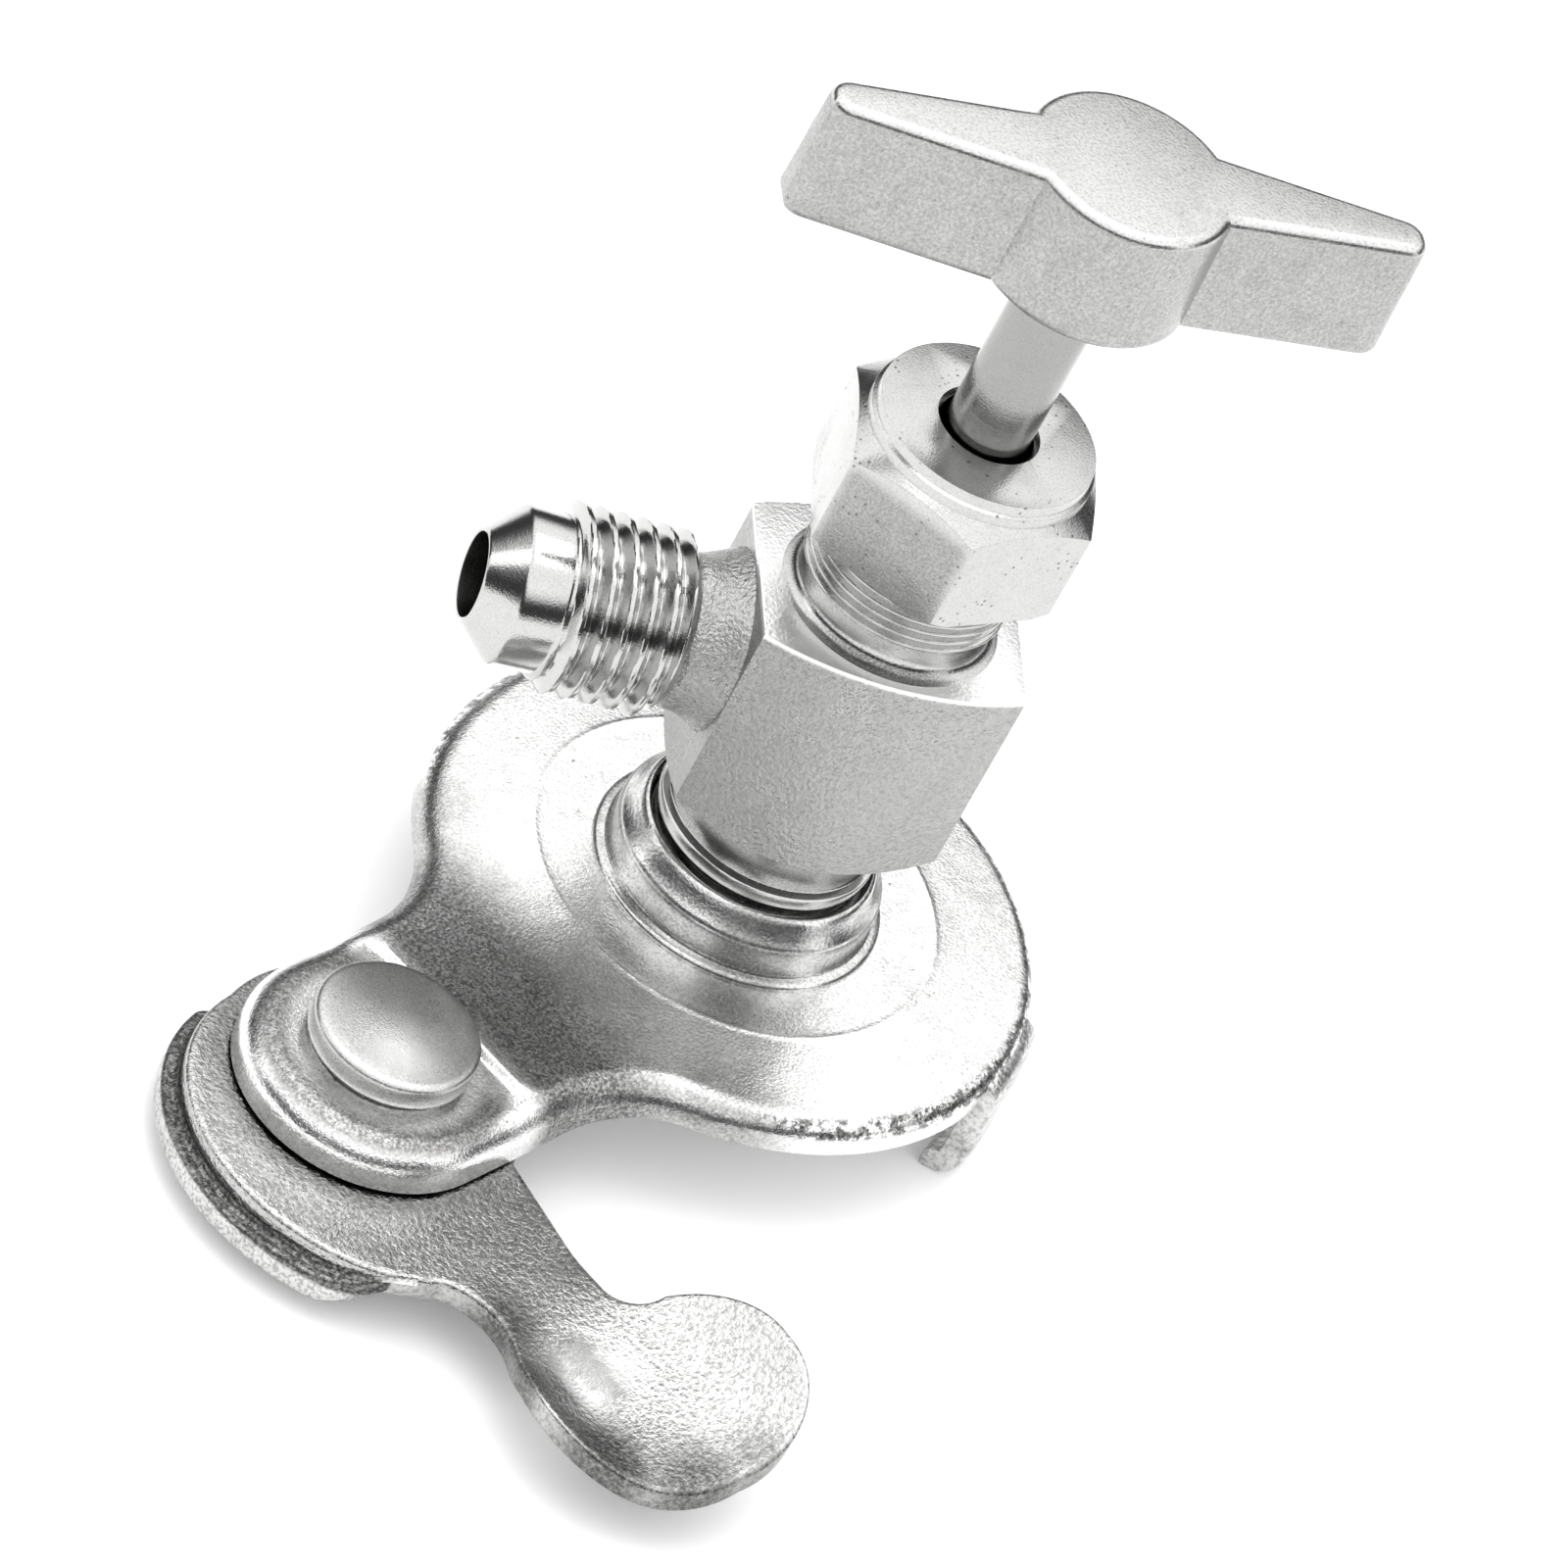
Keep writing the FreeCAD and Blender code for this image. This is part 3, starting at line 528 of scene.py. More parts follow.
def rounded(profile, radius, steps=4):
    """The profile with every corner of a closed (radius, height) outline rounded off."""
    out = []
    n = len(profile)
    for i, p in enumerate(profile):
        a, b = Vector(profile[i - 1]), Vector(profile[(i + 1) % n])
        p = Vector(p)
        cut = min(radius, (a - p).length * 0.45, (b - p).length * 0.45)
        s = p + (a - p).normalized() * cut
        e = p + (b - p).normalized() * cut
        for k in range(steps + 1):
            t = k / steps
            q = s * (1 - t) ** 2 + p * 2 * t * (1 - t) + e * t ** 2
            out.append((max(q.x, 0.0), q.y))
    return out


def inset(points, distance):
    """A closed outline moved inward by a distance, point by point."""
    n = len(points)
    area2 = sum(points[i - 1][0] * points[i][1] - points[i][0] * points[i - 1][1] for i in range(n))
    side = 1.0 if area2 > 0 else -1.0
    out = []
    for i in range(n):
        p, a, b = Vector(points[i]), Vector(points[i - 1]), Vector(points[(i + 1) % n])
        u, v = (p - a).normalized(), (b - p).normalized()
        m = Vector((-(u.y + v.y), u.x + v.x)).normalized()
        scale = 1.0 / max(0.5, m.dot(Vector((-u.y, u.x))))
        out.append(tuple(p + m * side * distance * scale))
    return out


def inside(points, loop):
    """For each point, whether it lies inside the closed loop."""
    p = np.array(points, float).reshape(-1, 2)
    hit = np.zeros(len(p), bool)
    for (ax, ay), (bx, by) in zip(loop, loop[1:] + loop[:1]):
        if ay != by:
            cross = (ay > p[:, 1]) != (by > p[:, 1])
            hit ^= cross & (p[:, 0] < (bx - ax) * (p[:, 1] - ay) / (by - ay) + ax)
    return hit


def search_tree(points):
    tree = KDTree(len(points))
    for i, p in enumerate(points):
        tree.insert((p[0], p[1], 0), i)
    tree.balance()
    return tree


def edge_tree(edge):
    """Search tree of an outline, with four points to each of its sides."""
    return search_tree([(p[0] + (q[0] - p[0]) * k / 4, p[1] + (q[1] - p[1]) * k / 4)
                        for p, q in zip(edge, edge[1:] + edge[:1]) for k in range(4)])


def roll_drop(d, radius):
    """Depth of a rolled edge below the sheet's face, at a distance d from the outline."""
    return radius * (1 - math.sqrt(max(0.0, 1 - (1 - min(d, radius) / radius) ** 2)))


def sheet(outline, holes, extra, top, bottom, spacing):
    """Pressed sheet: plan outline and holes filled with triangles, between a top and a bottom surface."""
    loops = [outline] + holes
    points, edges = [], []
    for loop in loops:
        start = len(points)
        points += loop
        edges += [(start + i, start + (i + 1) % len(loop)) for i in range(len(loop))]
    tree = search_tree(points)
    inner = []
    xs, ys = [p[0] for p in outline], [p[1] for p in outline]
    nx, ny = int((max(xs) - min(xs)) / spacing), int((max(ys) - min(ys)) / spacing)
    for i in range(nx):
        for j in range(ny):
            inner.append((min(xs) + (i + 0.5 * (j % 2)) * spacing, min(ys) + (j + 0.5) * spacing))
    near = search_tree(extra)
    inner = [p for p in inner if near.find((p[0], p[1], 0))[2] > spacing * 0.6
             and tree.find((p[0], p[1], 0))[2] > spacing * 0.6]
    inner = [p for p, k in zip(inner, inside(inner, outline)) if k]
    points += extra + inner
    plan, _, faces = delaunay_2d_cdt([Vector(p) for p in points], edges, [], 0, 1e-5, False)[:3]
    middle = [sum((plan[i] for i in f), Vector((0, 0))) / len(f) for f in faces]
    keep = inside(middle, outline)
    for hole in holes:
        keep &= ~inside(middle, hole)
    faces = [f for f, k in zip(faces, keep) if k]
    edge_of = {(f[i], f[(i + 1) % len(f)]) for f in faces for i in range(len(f))}
    rim = [e for e in edge_of if (e[1], e[0]) not in edge_of]
    n = len(plan)
    verts = [(p.x, p.y, top(p.x, p.y)) for p in plan] + [(p.x, p.y, bottom(p.x, p.y)) for p in plan]
    walls = [(a, b, b + n, a + n) for a, b in rim]
    every = [tuple(f) for f in faces] + [tuple(i + n for i in reversed(f)) for f in faces] + walls
    used = sorted({i for f in every for i in f})
    place = {old: new for new, old in enumerate(used)}
    return [verts[i] for i in used], [tuple(place[i] for i in f) for f in every]


def solid_by(name, verts, faces, cutters, bevel):
    """Mesh of a convex blank cut by other blanks, with its edges rounded."""
    def blank(label, v, f):
        thing = bpy.data.objects.new(label, clean_mesh(label, v, f))
        bpy.context.scene.collection.objects.link(thing)
        return thing

    base = blank(name + "_blank", verts, faces)
    tools = []
    for i, (v, f, how) in enumerate(cutters):
        tool = blank(f"{name}_tool{i}", v, f)
        m = base.modifiers.new(f"cut{i}", "BOOLEAN")
        m.operation = how
        m.object = tool
        m.solver = "EXACT"
        tools.append(tool)
    b = base.modifiers.new("bevel", "BEVEL")
    b.width = bevel * MM
    b.segments = 3
    b.limit_method = "ANGLE"
    b.angle_limit = math.radians(28)
    bpy.context.view_layer.update()
    mesh = bpy.data.meshes.new_from_object(base.evaluated_get(bpy.context.evaluated_depsgraph_get()))
    for thing in [base] + tools:
        bpy.data.objects.remove(thing)
    mesh.name = name
    return mesh


def prism(plan, low, high):
    n = len(plan)
    verts = [(x, y, low) for x, y in plan] + [(x, y, high) for x, y in plan]
    faces = [tuple(range(n))[::-1], tuple(range(n, 2 * n))]
    faces += [(i, (i + 1) % n, n + (i + 1) % n, n + i) for i in range(n)]
    return verts, faces


def threaded(low, high, root, crest, pitch, fade=(0.6, 0.6), segments=128, flat=0.16):
    """Rows of a right-handed screw thread about Z, fading out at both ends."""
    steps = max(8, int((high - low) / pitch * 20))
    rows = []
    for i in range(steps + 1):
        z = low + (high - low) * i / steps
        row = []
        for j in range(segments):
            phase = (z / pitch - j / segments) % 1.0
            tooth = min(1.0, max(0.0, (1 - abs(2 * phase - 1)) / (1 - 2 * flat) - 0.12))
            level = smooth(low, low + fade[0], z) * smooth(high, high - fade[1], z)
            r = root + (crest - root) * min(1.0, tooth * 1.15) * level
            row.append((*polar(r, 360 * j / segments), z))
        rows.append(row)
    return rows


# ------------------------------------------------------------------ clamp plate

def plate_ring(d):
    """Outline of disc and arm, drawn in by d."""
    disc, half, fillet = DISC_R - d, ARM_HALF - d, ARM_FILLET + d
    cx, cy = -math.sqrt((disc + fillet) ** 2 - (half + fillet) ** 2), half + fillet
    k = disc / (disc + fillet)
    touch = (cx * k, cy * k)
    to = Vector((touch[0] - cx, touch[1] - cy)).normalized()
    mid = (Vector((0, -1)) + to).normalized() * fillet
    side = (cx, half)

    def flip(p):
        return (p[0], -p[1])

    fillet_mid = (cx + mid.x, cy + mid.y)
    return (arc3(touch, (disc, 0), flip(touch), 240)
            + arc3(flip(touch), flip(fillet_mid), flip(side), 36)
            + straight(flip(side), (PIVOT_X, -half), 24)
            + arc3((PIVOT_X, -half), (PIVOT_X - half, 0), (PIVOT_X, half), 90)
            + straight((PIVOT_X, half), side, 24)
            + arc3(side, fillet_mid, touch, 36))


def plate_roll(x, y):
    """Radius of the rolled edge: wide round the arm and its fillets, tighter round the front."""
    back = max(smooth(-4.0, -17.0, x), smooth(-2.0, 8.0, y) * smooth(9.0, -5.0, x))
    front = smooth(-8.0, -20.0, y) * (1 - smooth(-14.0, -20.0, x))
    return 0.95 + 0.95 * back * (1 - 0.7 * front)


def plate_height(x, y):
    r = math.hypot(x, y)
    fall = 0.5 * min(1.0, max(0.0, (r - FLAT_R) / FALL_WIDTH))
    bead = 0.06 * math.exp(-((r - FLAT_R) / 0.2) ** 2)
    sag = ARM_SAG * smooth(-14.0, -24.0, x)
    spread = 0.3 + 2.6 * smooth(5.4, 8.0, abs(y))
    step = (LAND_STEP - ARM_SAG) * smooth(CREASE_X + spread, CREASE_X - spread, x)
    return PLATE_TOP - fall + bead - sag - step


def plate_rim_low(x):
    return RIM_TOP - 2.0 - 1.4 * smooth(-15.0, -24.0, x)


def clamp_plate():
    depths = (0.0, 0.06, 0.15, 0.3, 0.5, 0.75, 1.05, 1.4, 1.58, 1.64, 1.9, 2.3)
    rings = [plate_ring(d) for d in depths]
    edge = rings[0]
    tree = edge_tree(edge)

    def deep(x, y):
        return tree.find((x, y, 0))[2]

    def top(x, y):
        return plate_height(x, y) - roll_drop(deep(x, y), plate_roll(x, y))

    def bottom(x, y):
        if deep(x, y) < 1.61:
            return plate_rim_low(x)
        return min(plate_height(x, y), RIM_TOP if x > CREASE_X else RIM_TOP - LAND_STEP) - SHEET

    extra = [p for ring in rings[1:] for p in ring]
    for r in (12.1, 12.26, 12.4, 12.5, 12.6, 12.74, 12.9):
        extra += [polar(r, 3 * i) for i in range(120)]
    for k in range(-4, 5):
        extra += [(CREASE_X + 0.1 * k, -5.6 + 0.4 * i) for i in range(29)]
    bush = [polar(BUSH_HOLE_R, 5 * i) for i in range(72)]
    rivet = [(PIVOT_X + x, y) for x, y in (polar(RIVET_R, 10 * i) for i in range(36))]
    verts, faces = sheet(edge, [bush, rivet], extra, top, bottom, 0.75)
    piece("plate_pan", verts, faces, "clamp_plate", sharp=50)
    for angle in (CLAW_ANGLE, -CLAW_ANGLE):
        claw(angle)


def claw(angle):
    """J-shaped claw: leg, tight bend and short lip, with sheared sides."""
    out_r, t, low, tip = 19.9, 1.5, PLATE_TOP - 8.6, 17.6
    top = RIM_TOP - 0.35
    outer = [(18.4, top), (19.0, top - 0.12), (19.5, top - 0.42), (19.8, top - 0.95)]
    outer += [(out_r, z) for z in (top - 1.6, top - 3.4, low + 2.2)]
    outer += [(out_r - 1.7 + 1.7 * math.cos(a), low + 1.7 + 1.7 * math.sin(a))
              for a in (0, -0.39, -0.79, -1.18, -1.57)]
    outer += [(tip + 0.25, low), (tip, low + 0.2)]
    inner = [(tip, low + t - 0.3), (tip + 0.2, low + t)]
    inner += [(out_r - t - 0.35 + 0.35 * math.cos(a), low + t + 0.35 + 0.35 * math.sin(a)) for a in (-1.57,
                                                                                                     -0.79,
                                                                                                     0)]
    inner += [(out_r - t, low + 2.4), (out_r - t, top - 3.4), (out_r - t, top - 1.9), (18.3, top - 1.6),
              (17.9, top - 1.0)]
    loop = outer + inner
    rows = []
    width = 3.6
    for y, shrink in ((-width, 0.16), (-width + 0.03, 0.06), (-width + 0.14, 0.0), (-2.0, 0), (-1.0, 0),
                      (0, 0),
                      (1.0, 0), (2.0, 0), (width - 0.14, 0), (width - 0.03, 0.06), (width, 0.16)):
        section = inset(loop, shrink) if shrink else loop
        back = 0.25 * (y / width) ** 2 * (1 + 0.05 * (y / width) ** 2)
        rows.append([(r - back, y, z) for r, z in section])
    verts, faces = grid(rows)
    faces += caps(rows)
    piece(f"plate_claw_{'a' if angle > 0 else 'b'}", verts, faces, "clamp_plate",
          Matrix.Rotation(math.radians(angle), 4, "Z"), sharp=50, mat=MATS["sheared"])


# ------------------------------------------------------------------ rivet, washers, bush

def at_pivot():
    return Matrix.Translation((PIVOT_X * MM, 0, 0))


def pivot_rivet():
    head_low = RIM_TOP - LAND_STEP
    tail_top = LEVER_TOP - LEVER_SHEET - 0.05 - TAIL_WASHER
    top = head_low + RIVET_HEAD
    profile = [(0.0, tail_top - 0.75), (3.4, tail_top - 0.75), (3.9, tail_top - 0.6), (4.2, tail_top - 0.2),
               (4.2, tail_top), (RIVET_R, tail_top), (RIVET_R, head_low), (4.4, head_low),
               (4.6, head_low + 0.1),
               (4.66, head_low + 0.3), (4.78, head_low + 0.42), (4.93, head_low + 0.62),
               (4.95, head_low + 0.9),
               (4.95, top - 0.72), (4.93, top - 0.55), (4.84, top - 0.4), (4.68, top - 0.3),
               (4.4, top - 0.24),
               (3.8, top - 0.19), (2.8, top - 0.12), (1.4, top - 0.04), (0.0, top)]
    verts, faces = lathe(profile)
    piece("rivet_turned", verts, faces, "pivot_rivet", at_pivot(), sharp=60)


def spring_washer():
    """Closed spring washer with three slight waves."""
    wave_height = 0.12
    low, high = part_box("spring_washer")
    z0, z1 = low.z / MM, high.z / MM
    rows = []
    for r, k in ((3.05, 0), (3.05, 1), (3.3, 1.0), (5.7, 1.0), (5.98, 0.85), (5.98, 0.15), (5.7, 0),
                 (3.3, 0)):
        row = []
        for j in range(120):
            wave = wave_height * (1 - math.cos(3 * TAU * j / 120)) / 2
            base = z0 + wave * 0.9
            row.append((*polar(r, 3 * j), min(z1, base + k * (z1 - z0 - wave_height))))
        rows.append(row)
    verts, faces = grid(rows, closed_rows=True)
    piece("spring_ring", verts, faces, "spring_washer", at_pivot())


RING_BORES = {"tail_washer": RIVET_R, "can_gasket": 2.0, "seat_seal": 1.05}
GLAND_BORE = 2.55


def flat_ring(name, node, place=None, soft_edge=0.12):
    """A flat washer or ring rebuilt with rounded edges inside its own box."""
    low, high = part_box(node)
    outer = (high.x - low.x) / 2 / MM
    inner = RING_BORES.get(node, GLAND_BORE)
    z0, z1 = low.z / MM, high.z / MM
    profile = rounded([(inner, z0), (outer, z0), (outer, z1), (inner, z1)], soft_edge)
    verts, faces = lathe(profile, 128)
    piece(name, verts, faces, node, place, sharp=50)


def threaded_bush():
    low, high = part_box("threaded_bush")
    tail, z = low.z / MM, PLATE_TOP
    bore = BUSH_BORE
    profile = [(bore, tail), (8.7, tail), (8.93, tail + 0.2), (8.93, tail + 0.88),
               (BUSH_HOLE_R, tail + 0.9), (BUSH_HOLE_R, z),
               (8.93, z), (8.95, z + 0.12), (8.9, z + 0.26), (8.76, z + 0.36), (8.52, z + 0.4),
               (8.36, z + 0.44),
               (8.28, z + 0.56), (8.24, z + 0.8), (8.2, z + 1.3), (8.2, z + 1.9), (8.19, z + 2.2),
               (8.12, z + 2.45),
               (8.0, z + 2.62), (7.86, z + 2.78), (7.6, z + 3.2), (7.38, z + 3.58), (7.24, z + 3.82),
               (7.12, z + 3.94),
               (6.98, z + 3.98), (bore + 0.02, z + 3.9), (bore, z + 3.7)]
    rows = circles(profile, 192)
    steps = 40
    for i in range(steps):
        h = z + 3.6 - (z + 3.6 - tail - 0.1) * i / (steps - 1)
        rows.append([(*polar(bore - 0.03 + 0.03 * math.cos(TAU * (h - j / 192)), 360 * j / 192), h)
                     for j in range(192)])
    verts, faces = grid(rows, closed_rows=True)
    piece("bush_turned", verts, faces, "threaded_bush", sharp=40)


# ------------------------------------------------------------------ cam lever (plan about its pivot)

def cam_radius(a):
    return HEAD_R + 0.040 * (min(a, CAM_TO) - CAM_FROM) + 0.012 * max(0.0, a - CAM_TO)


def tab_axes():
    a = math.radians(TAB_LINE)
    return Vector((math.cos(a), math.sin(a))), Vector((-math.sin(a), math.cos(a)))


def tab_point(along, across):
    ahead, right = tab_axes()
    p = Vector(TAB_CORNER) + ahead * along + right * across * math.cos(math.radians(TAB_BEND))
    return (p.x, p.y)


def tab_round(degrees):
    a = math.radians(degrees)
    return tab_point(TAB_MID[0] + TAB_R * math.cos(a), TAB_MID[1] + TAB_R * math.sin(a))


def lever_outline():
    head = polar(HEAD_R, -63.0)
    corner = Vector(TAB_CORNER)
    neck = (corner.x + 0.1, corner.y + 1.1)
    half = math.sqrt(TAB_R ** 2 - TAB_MID[1] ** 2)
    far = tab_point(TAB_MID[0] + half, 0.0)
    cam_a, cam_b = polar(HEAD_R, CAM_FROM), polar(cam_radius(CAM_TO), CAM_TO)
    shoulder, side = (-6.3, -12.95), (-6.0, -18.5)
    points = [polar(cam_radius(CAM_FROM + i), CAM_FROM + i) for i in range(int(CAM_TO - CAM_FROM))]
    points += arc3(cam_b, (-8.4, -11.5), shoulder, 14)
    points += arc3(shoulder, (-5.25, -15.2), side, 24)
    points += arc3(side, (-7.95, -25.2), far, 48)
    points += arc3(far, tab_round(45.0), tab_round(90.0), 26)
    points += arc3(tab_round(90.0), tab_round(125.0), tab_round(165.0), 26)
    points += arc3(tab_round(165.0), (corner.x + 0.3, corner.y - 0.65), neck, 12)
    points += straight(neck, head, 30)
    points += arc3(head, polar(HEAD_R, 20.0), cam_a, 110)
    return points[::-1]


def tab_lift(x, y):
    """Height of the turned-up half of the tab, eased over the bend and towards the neck."""
    ahead, right = tab_axes()
    d = Vector((x, y)) - Vector(TAB_CORNER)
    along, across = d.dot(ahead), d.dot(right)
    slope = math.tan(math.radians(TAB_BEND))
    ease = 5.6
    if across <= -ease:
        rise = 0.0
    elif across < ease:
        rise = slope * (across + ease) ** 2 / (4 * ease)
    else:
        rise = slope * across
    curl = 0.05 * max(0.0, -across - 4.6) ** 2 * smooth(-1.0, 4.0, along)
    return rise * smooth(-4.5, 1.2, along) + curl


def cam_lever():
    edge = lever_outline()
    rings = [inset(edge, d) for d in (0.05, 0.13, 0.26, 0.5, 0.9)]
    tree = edge_tree(edge)

    def roll(x, y):
        return roll_drop(tree.find((x, y, 0))[2], 0.3)

    def top(x, y):
        return LEVER_TOP + tab_lift(x, y) - roll(x, y)

    def bottom(x, y):
        return LEVER_TOP + tab_lift(x, y) - LEVER_SHEET * 1.06 + roll(x, y) * 0.6

    hole = [polar(3.06, 10 * i) for i in range(36)]
    extra = [p for ring in rings for p in ring]
    verts, faces = sheet(edge, [hole], extra, top, bottom, 0.55)
    piece("lever_sheet", verts, faces, "cam_lever", at_pivot(), sharp=50)
    cam_flange()


def cam_flange():
    """Drawn wall and lip along the cam, running out where the wall meets the sheet again."""
    rows = []
    low = LEVER_TOP - 3.1
    for i in range(133):
        a = CAM_FROM - 1.0 + i
        r = cam_radius(a)
        lip_top = LEVER_TOP - 1.62 + 0.25 * smooth(190, 208, a) + 1.1 * smooth(214, 236, a)
        lip = 0.9 * smooth(CAM_FROM - 2, CAM_FROM + 6, a)
        lip *= 1 - 0.97 * smooth(216, 236, a)
        foot = low + 1.75 * smooth(217, 236, a)
        top = LEVER_TOP
        section = [(-1.6, top - 0.02), (-0.75, top), (-0.42, top - 0.03), (-0.18, top - 0.14),
                   (-0.02, top - 0.36),
                   (0.0, top - 0.7), (0.0, lip_top + 0.45), (0.04, lip_top + 0.2), (0.16, lip_top + 0.05),
                   (0.34, lip_top), (lip - 0.3, lip_top), (lip - 0.12, lip_top - 0.04),
                   (lip - 0.02, lip_top - 0.14),
                   (lip, lip_top - 0.3), (lip, foot + 0.3), (lip - 0.08, foot + 0.08), (lip - 0.3, foot),
                   (-1.2, foot), (-1.5, foot + 0.1), (-1.6, foot + 0.3)]
        section = [(d, min(z, top)) for d, z in section]
        rows.append([(*polar(r + d, a), z) for d, z in section])
    verts, faces = grid(rows)
    faces += caps(rows)
    piece("lever_cam", verts, faces, "cam_lever", at_pivot(), 50, MATS["cam_wall"])


# ------------------------------------------------------------------ valve body

def body_matrix():
    return Matrix.Rotation(math.radians(BODY_TURN), 4, "Z")


def outlet_matrix():
    return body_matrix() @ Matrix.Translation((0, 0, OUTLET_Z * MM)) @ Matrix.Rotation(math.radians(90), 4,
                                                                                       "Y")


def valve_body():
    h, c, m = 7.95, 5.45, 7.12
    plan = ([(h, -c), (h, c)] + arc3((h, c), (0, m), (-h, c), 18)[1:] + [(-h, c), (-h, -c)]
            + arc3((-h, -c), (0, -m), (h, -c), 18)[1:])
    verts, faces = prism(plan, BLOCK_LOW, BLOCK_TOP)
    rise = (14.0 - 6.3) * math.tan(math.radians(32))
    cup = lathe([(0.01, BLOCK_LOW - 0.5), (5.5, BLOCK_LOW - 0.5), (14.0, BLOCK_LOW + rise),
                 (14.0, BLOCK_TOP + 2),
                 (0.01, BLOCK_TOP + 2)], 128)
    core = lathe([(0.01, 0.0), (4.15, 0.0), (4.15, 40.0), (0.01, 40.0)], 64)
    mesh = solid_by("body_block", verts, faces, [(*cup, "INTERSECT"), (*core, "DIFFERENCE")], 0.38)
    mesh.transform(body_matrix())
    finish_piece("body_block", mesh, "valve_body", 40, MATS["sand_cast"])
    neck_top()
    stub()
    outlet()


def neck_top():
    """Turned face round the neck, thread relief and the thread that carries the gland nut."""
    z = BLOCK_TOP
    face = [(4.1, z - 0.6), (6.5, z - 0.6), (6.62, z - 0.02), (6.55, z + 0.01), (6.35, z + 0.04),
            (6.15, z + 0.1),
            (5.92, z + 0.24), (5.76, z + 0.46), (5.68, z + 0.75), (5.66, z + 0.95), (5.66, z + 1.85)]
    end = NECK_TOP
    rows = circles(face)
    rows += threaded(z + 1.9, end - 0.4, 5.68, 6.12, 0.62, (0.2, 0.3), flat=0.1)
    rows += circles([(5.6, end), (4.3, end), (4.3, end - 5), (4.1, end - 5)])
    verts, faces = grid(rows, closed_rows=True)
    piece("body_neck", verts, faces, "valve_body", sharp=60, mat=MATS["neck_turned"])


def stub():
    """Lower neck, ring and screwed stub with the recess for the gasket."""
    low = 1.6
    z = PLATE_TOP
    profile = [(6.05, low + 0.8), (6.05, low), (6.4, low), (6.72, low + 0.35)]
    end = [(6.25, z + 3.4), (6.2, z + 4.1), (6.4, z + 4.16), (6.6, z + 4.22), (6.68, z + 4.34),
           (6.7, z + 4.5),
           (6.7, z + 5.2), (6.66, z + 5.3), (6.5, z + 5.34), (6.26, z + 5.36), (6.2, z + 5.46),
           (6.2, z + 7.5),
           (6.3, z + 7.75), (5.2, z + 7.9), (5.2, low + 0.8)]
    rows = circles(profile)
    rows += threaded(low + 0.5, z + 3.35, 6.3, 6.78, 1.0, (0.4, 0.4), flat=0.1)
    rows += circles(end)
    verts, faces = grid(rows, closed_rows=True)
    piece("body_stub", verts, faces, "valve_body", sharp=40, mat=MATS["stub_turned"])


def outlet():
    mouth = OUTLET_LENGTH
    cone = [(2.5, mouth - 0.05), (2.62, mouth), (2.72, mouth - 0.04)]
    land_end = mouth - 2.0
    cone += [(2.8, mouth - 0.13), (4.5, land_end + 0.14), (4.62, land_end), (4.65, land_end - 0.15)]
    start = land_end - 2.6
    land = [(4.65, start + 0.3), (4.62, start + 0.1)]
    rows = circles(cone + land)
    end = mouth - 11.9
    rows += threaded(end, start, 4.72, 5.54, 1.27, (0.5, 0.35), flat=0.1)[::-1]
    rows += circles([(4.6, end - 0.1), (4.3, end - 0.35), (4.2, end - 0.8), (3.0, end - 1.0)])
    verts, faces = grid(rows)
    piece("body_outlet", verts, faces, "valve_body", outlet_matrix(), 40, MATS["machined"])
    # the bore's wall is near-black: painted shade
    verts, faces = lathe([(2.5, mouth - 0.05), (2.45, mouth - 0.3), (2.45, 4.4), (0.0, 4.4)], 96,
                         closed=False)
    piece("body_bore", verts, faces, "valve_body", outlet_matrix(), 40, MATS["bore_painted_shade"])
    neck = []
    for h, r in ((5.5, 5.4), (7.4, 5.4), (7.9, 5.36), (8.1, 5.28), (8.3, 5.16), (8.6, 4.98), (9.0, 4.78),
                 (9.5, 4.62),
                 (10.0, 4.54), (10.4, 4.5), (10.8, 4.42), (11.0, 4.2), (11.05, 3.6)):
        row = []
        for j in range(128):
            a = TAU * j / 128
            down = 0.32 * max(0.0, math.cos(a)) ** 2 * smooth(11.2, 9.0, h)
            lump = 0.09 * math.sin(3 * a + h) + 0.07 * math.sin(5 * a - 2 * h)
            row.append(((r + down + lump) * math.cos(a), (r + down * 0.3 + lump) * math.sin(a), h))
        neck.append(row)
    neck += circles([(3.0, 11.05), (3.0, 5.5)])
    verts, faces = grid(neck, closed_rows=True)
    piece("body_outlet_root", verts, faces, "valve_body", outlet_matrix(), 50, MATS["sand_cast"])


# ------------------------------------------------------------------ gland nut, spindle, handle

def gland_nut():
    corner = NUT_FLATS / math.sqrt(3)
    low, high = NUT_LOW, NUT_TOP
    boss_low = high - 1.25
    hexagon = [polar(corner, NUT_TURN + 60 * i) for i in range(6)]
    verts, faces = prism(hexagon, low, high)
    slope = math.tan(math.radians(30))
    cup = lathe([(0.01, low), (corner - 0.55, low), (corner + 0.5, low + 0.75),
                 (corner + 0.5, boss_low - 2.25 * slope),
                 (6.72, boss_low - 0.1), (6.72, boss_low + 0.5), (6.5, boss_low + 0.6), (6.38, high + 1),
                 (0.01, high + 1)], 128)
    bore = lathe([(0.01, low - 1), (6.35, low - 1), (6.35, PLATE_TOP + 33.3), (2.8, PLATE_TOP + 33.4),
                  (2.8, high - 0.3), (3.3, high + 0.25), (3.3, high + 2), (0.01, high + 2)], 96)
    mesh = solid_by("nut_hex", verts, faces, [(*cup, "INTERSECT"), (*bore, "DIFFERENCE")], 0.2)
    finish_piece("nut_hex", mesh, "gland_nut", 30)


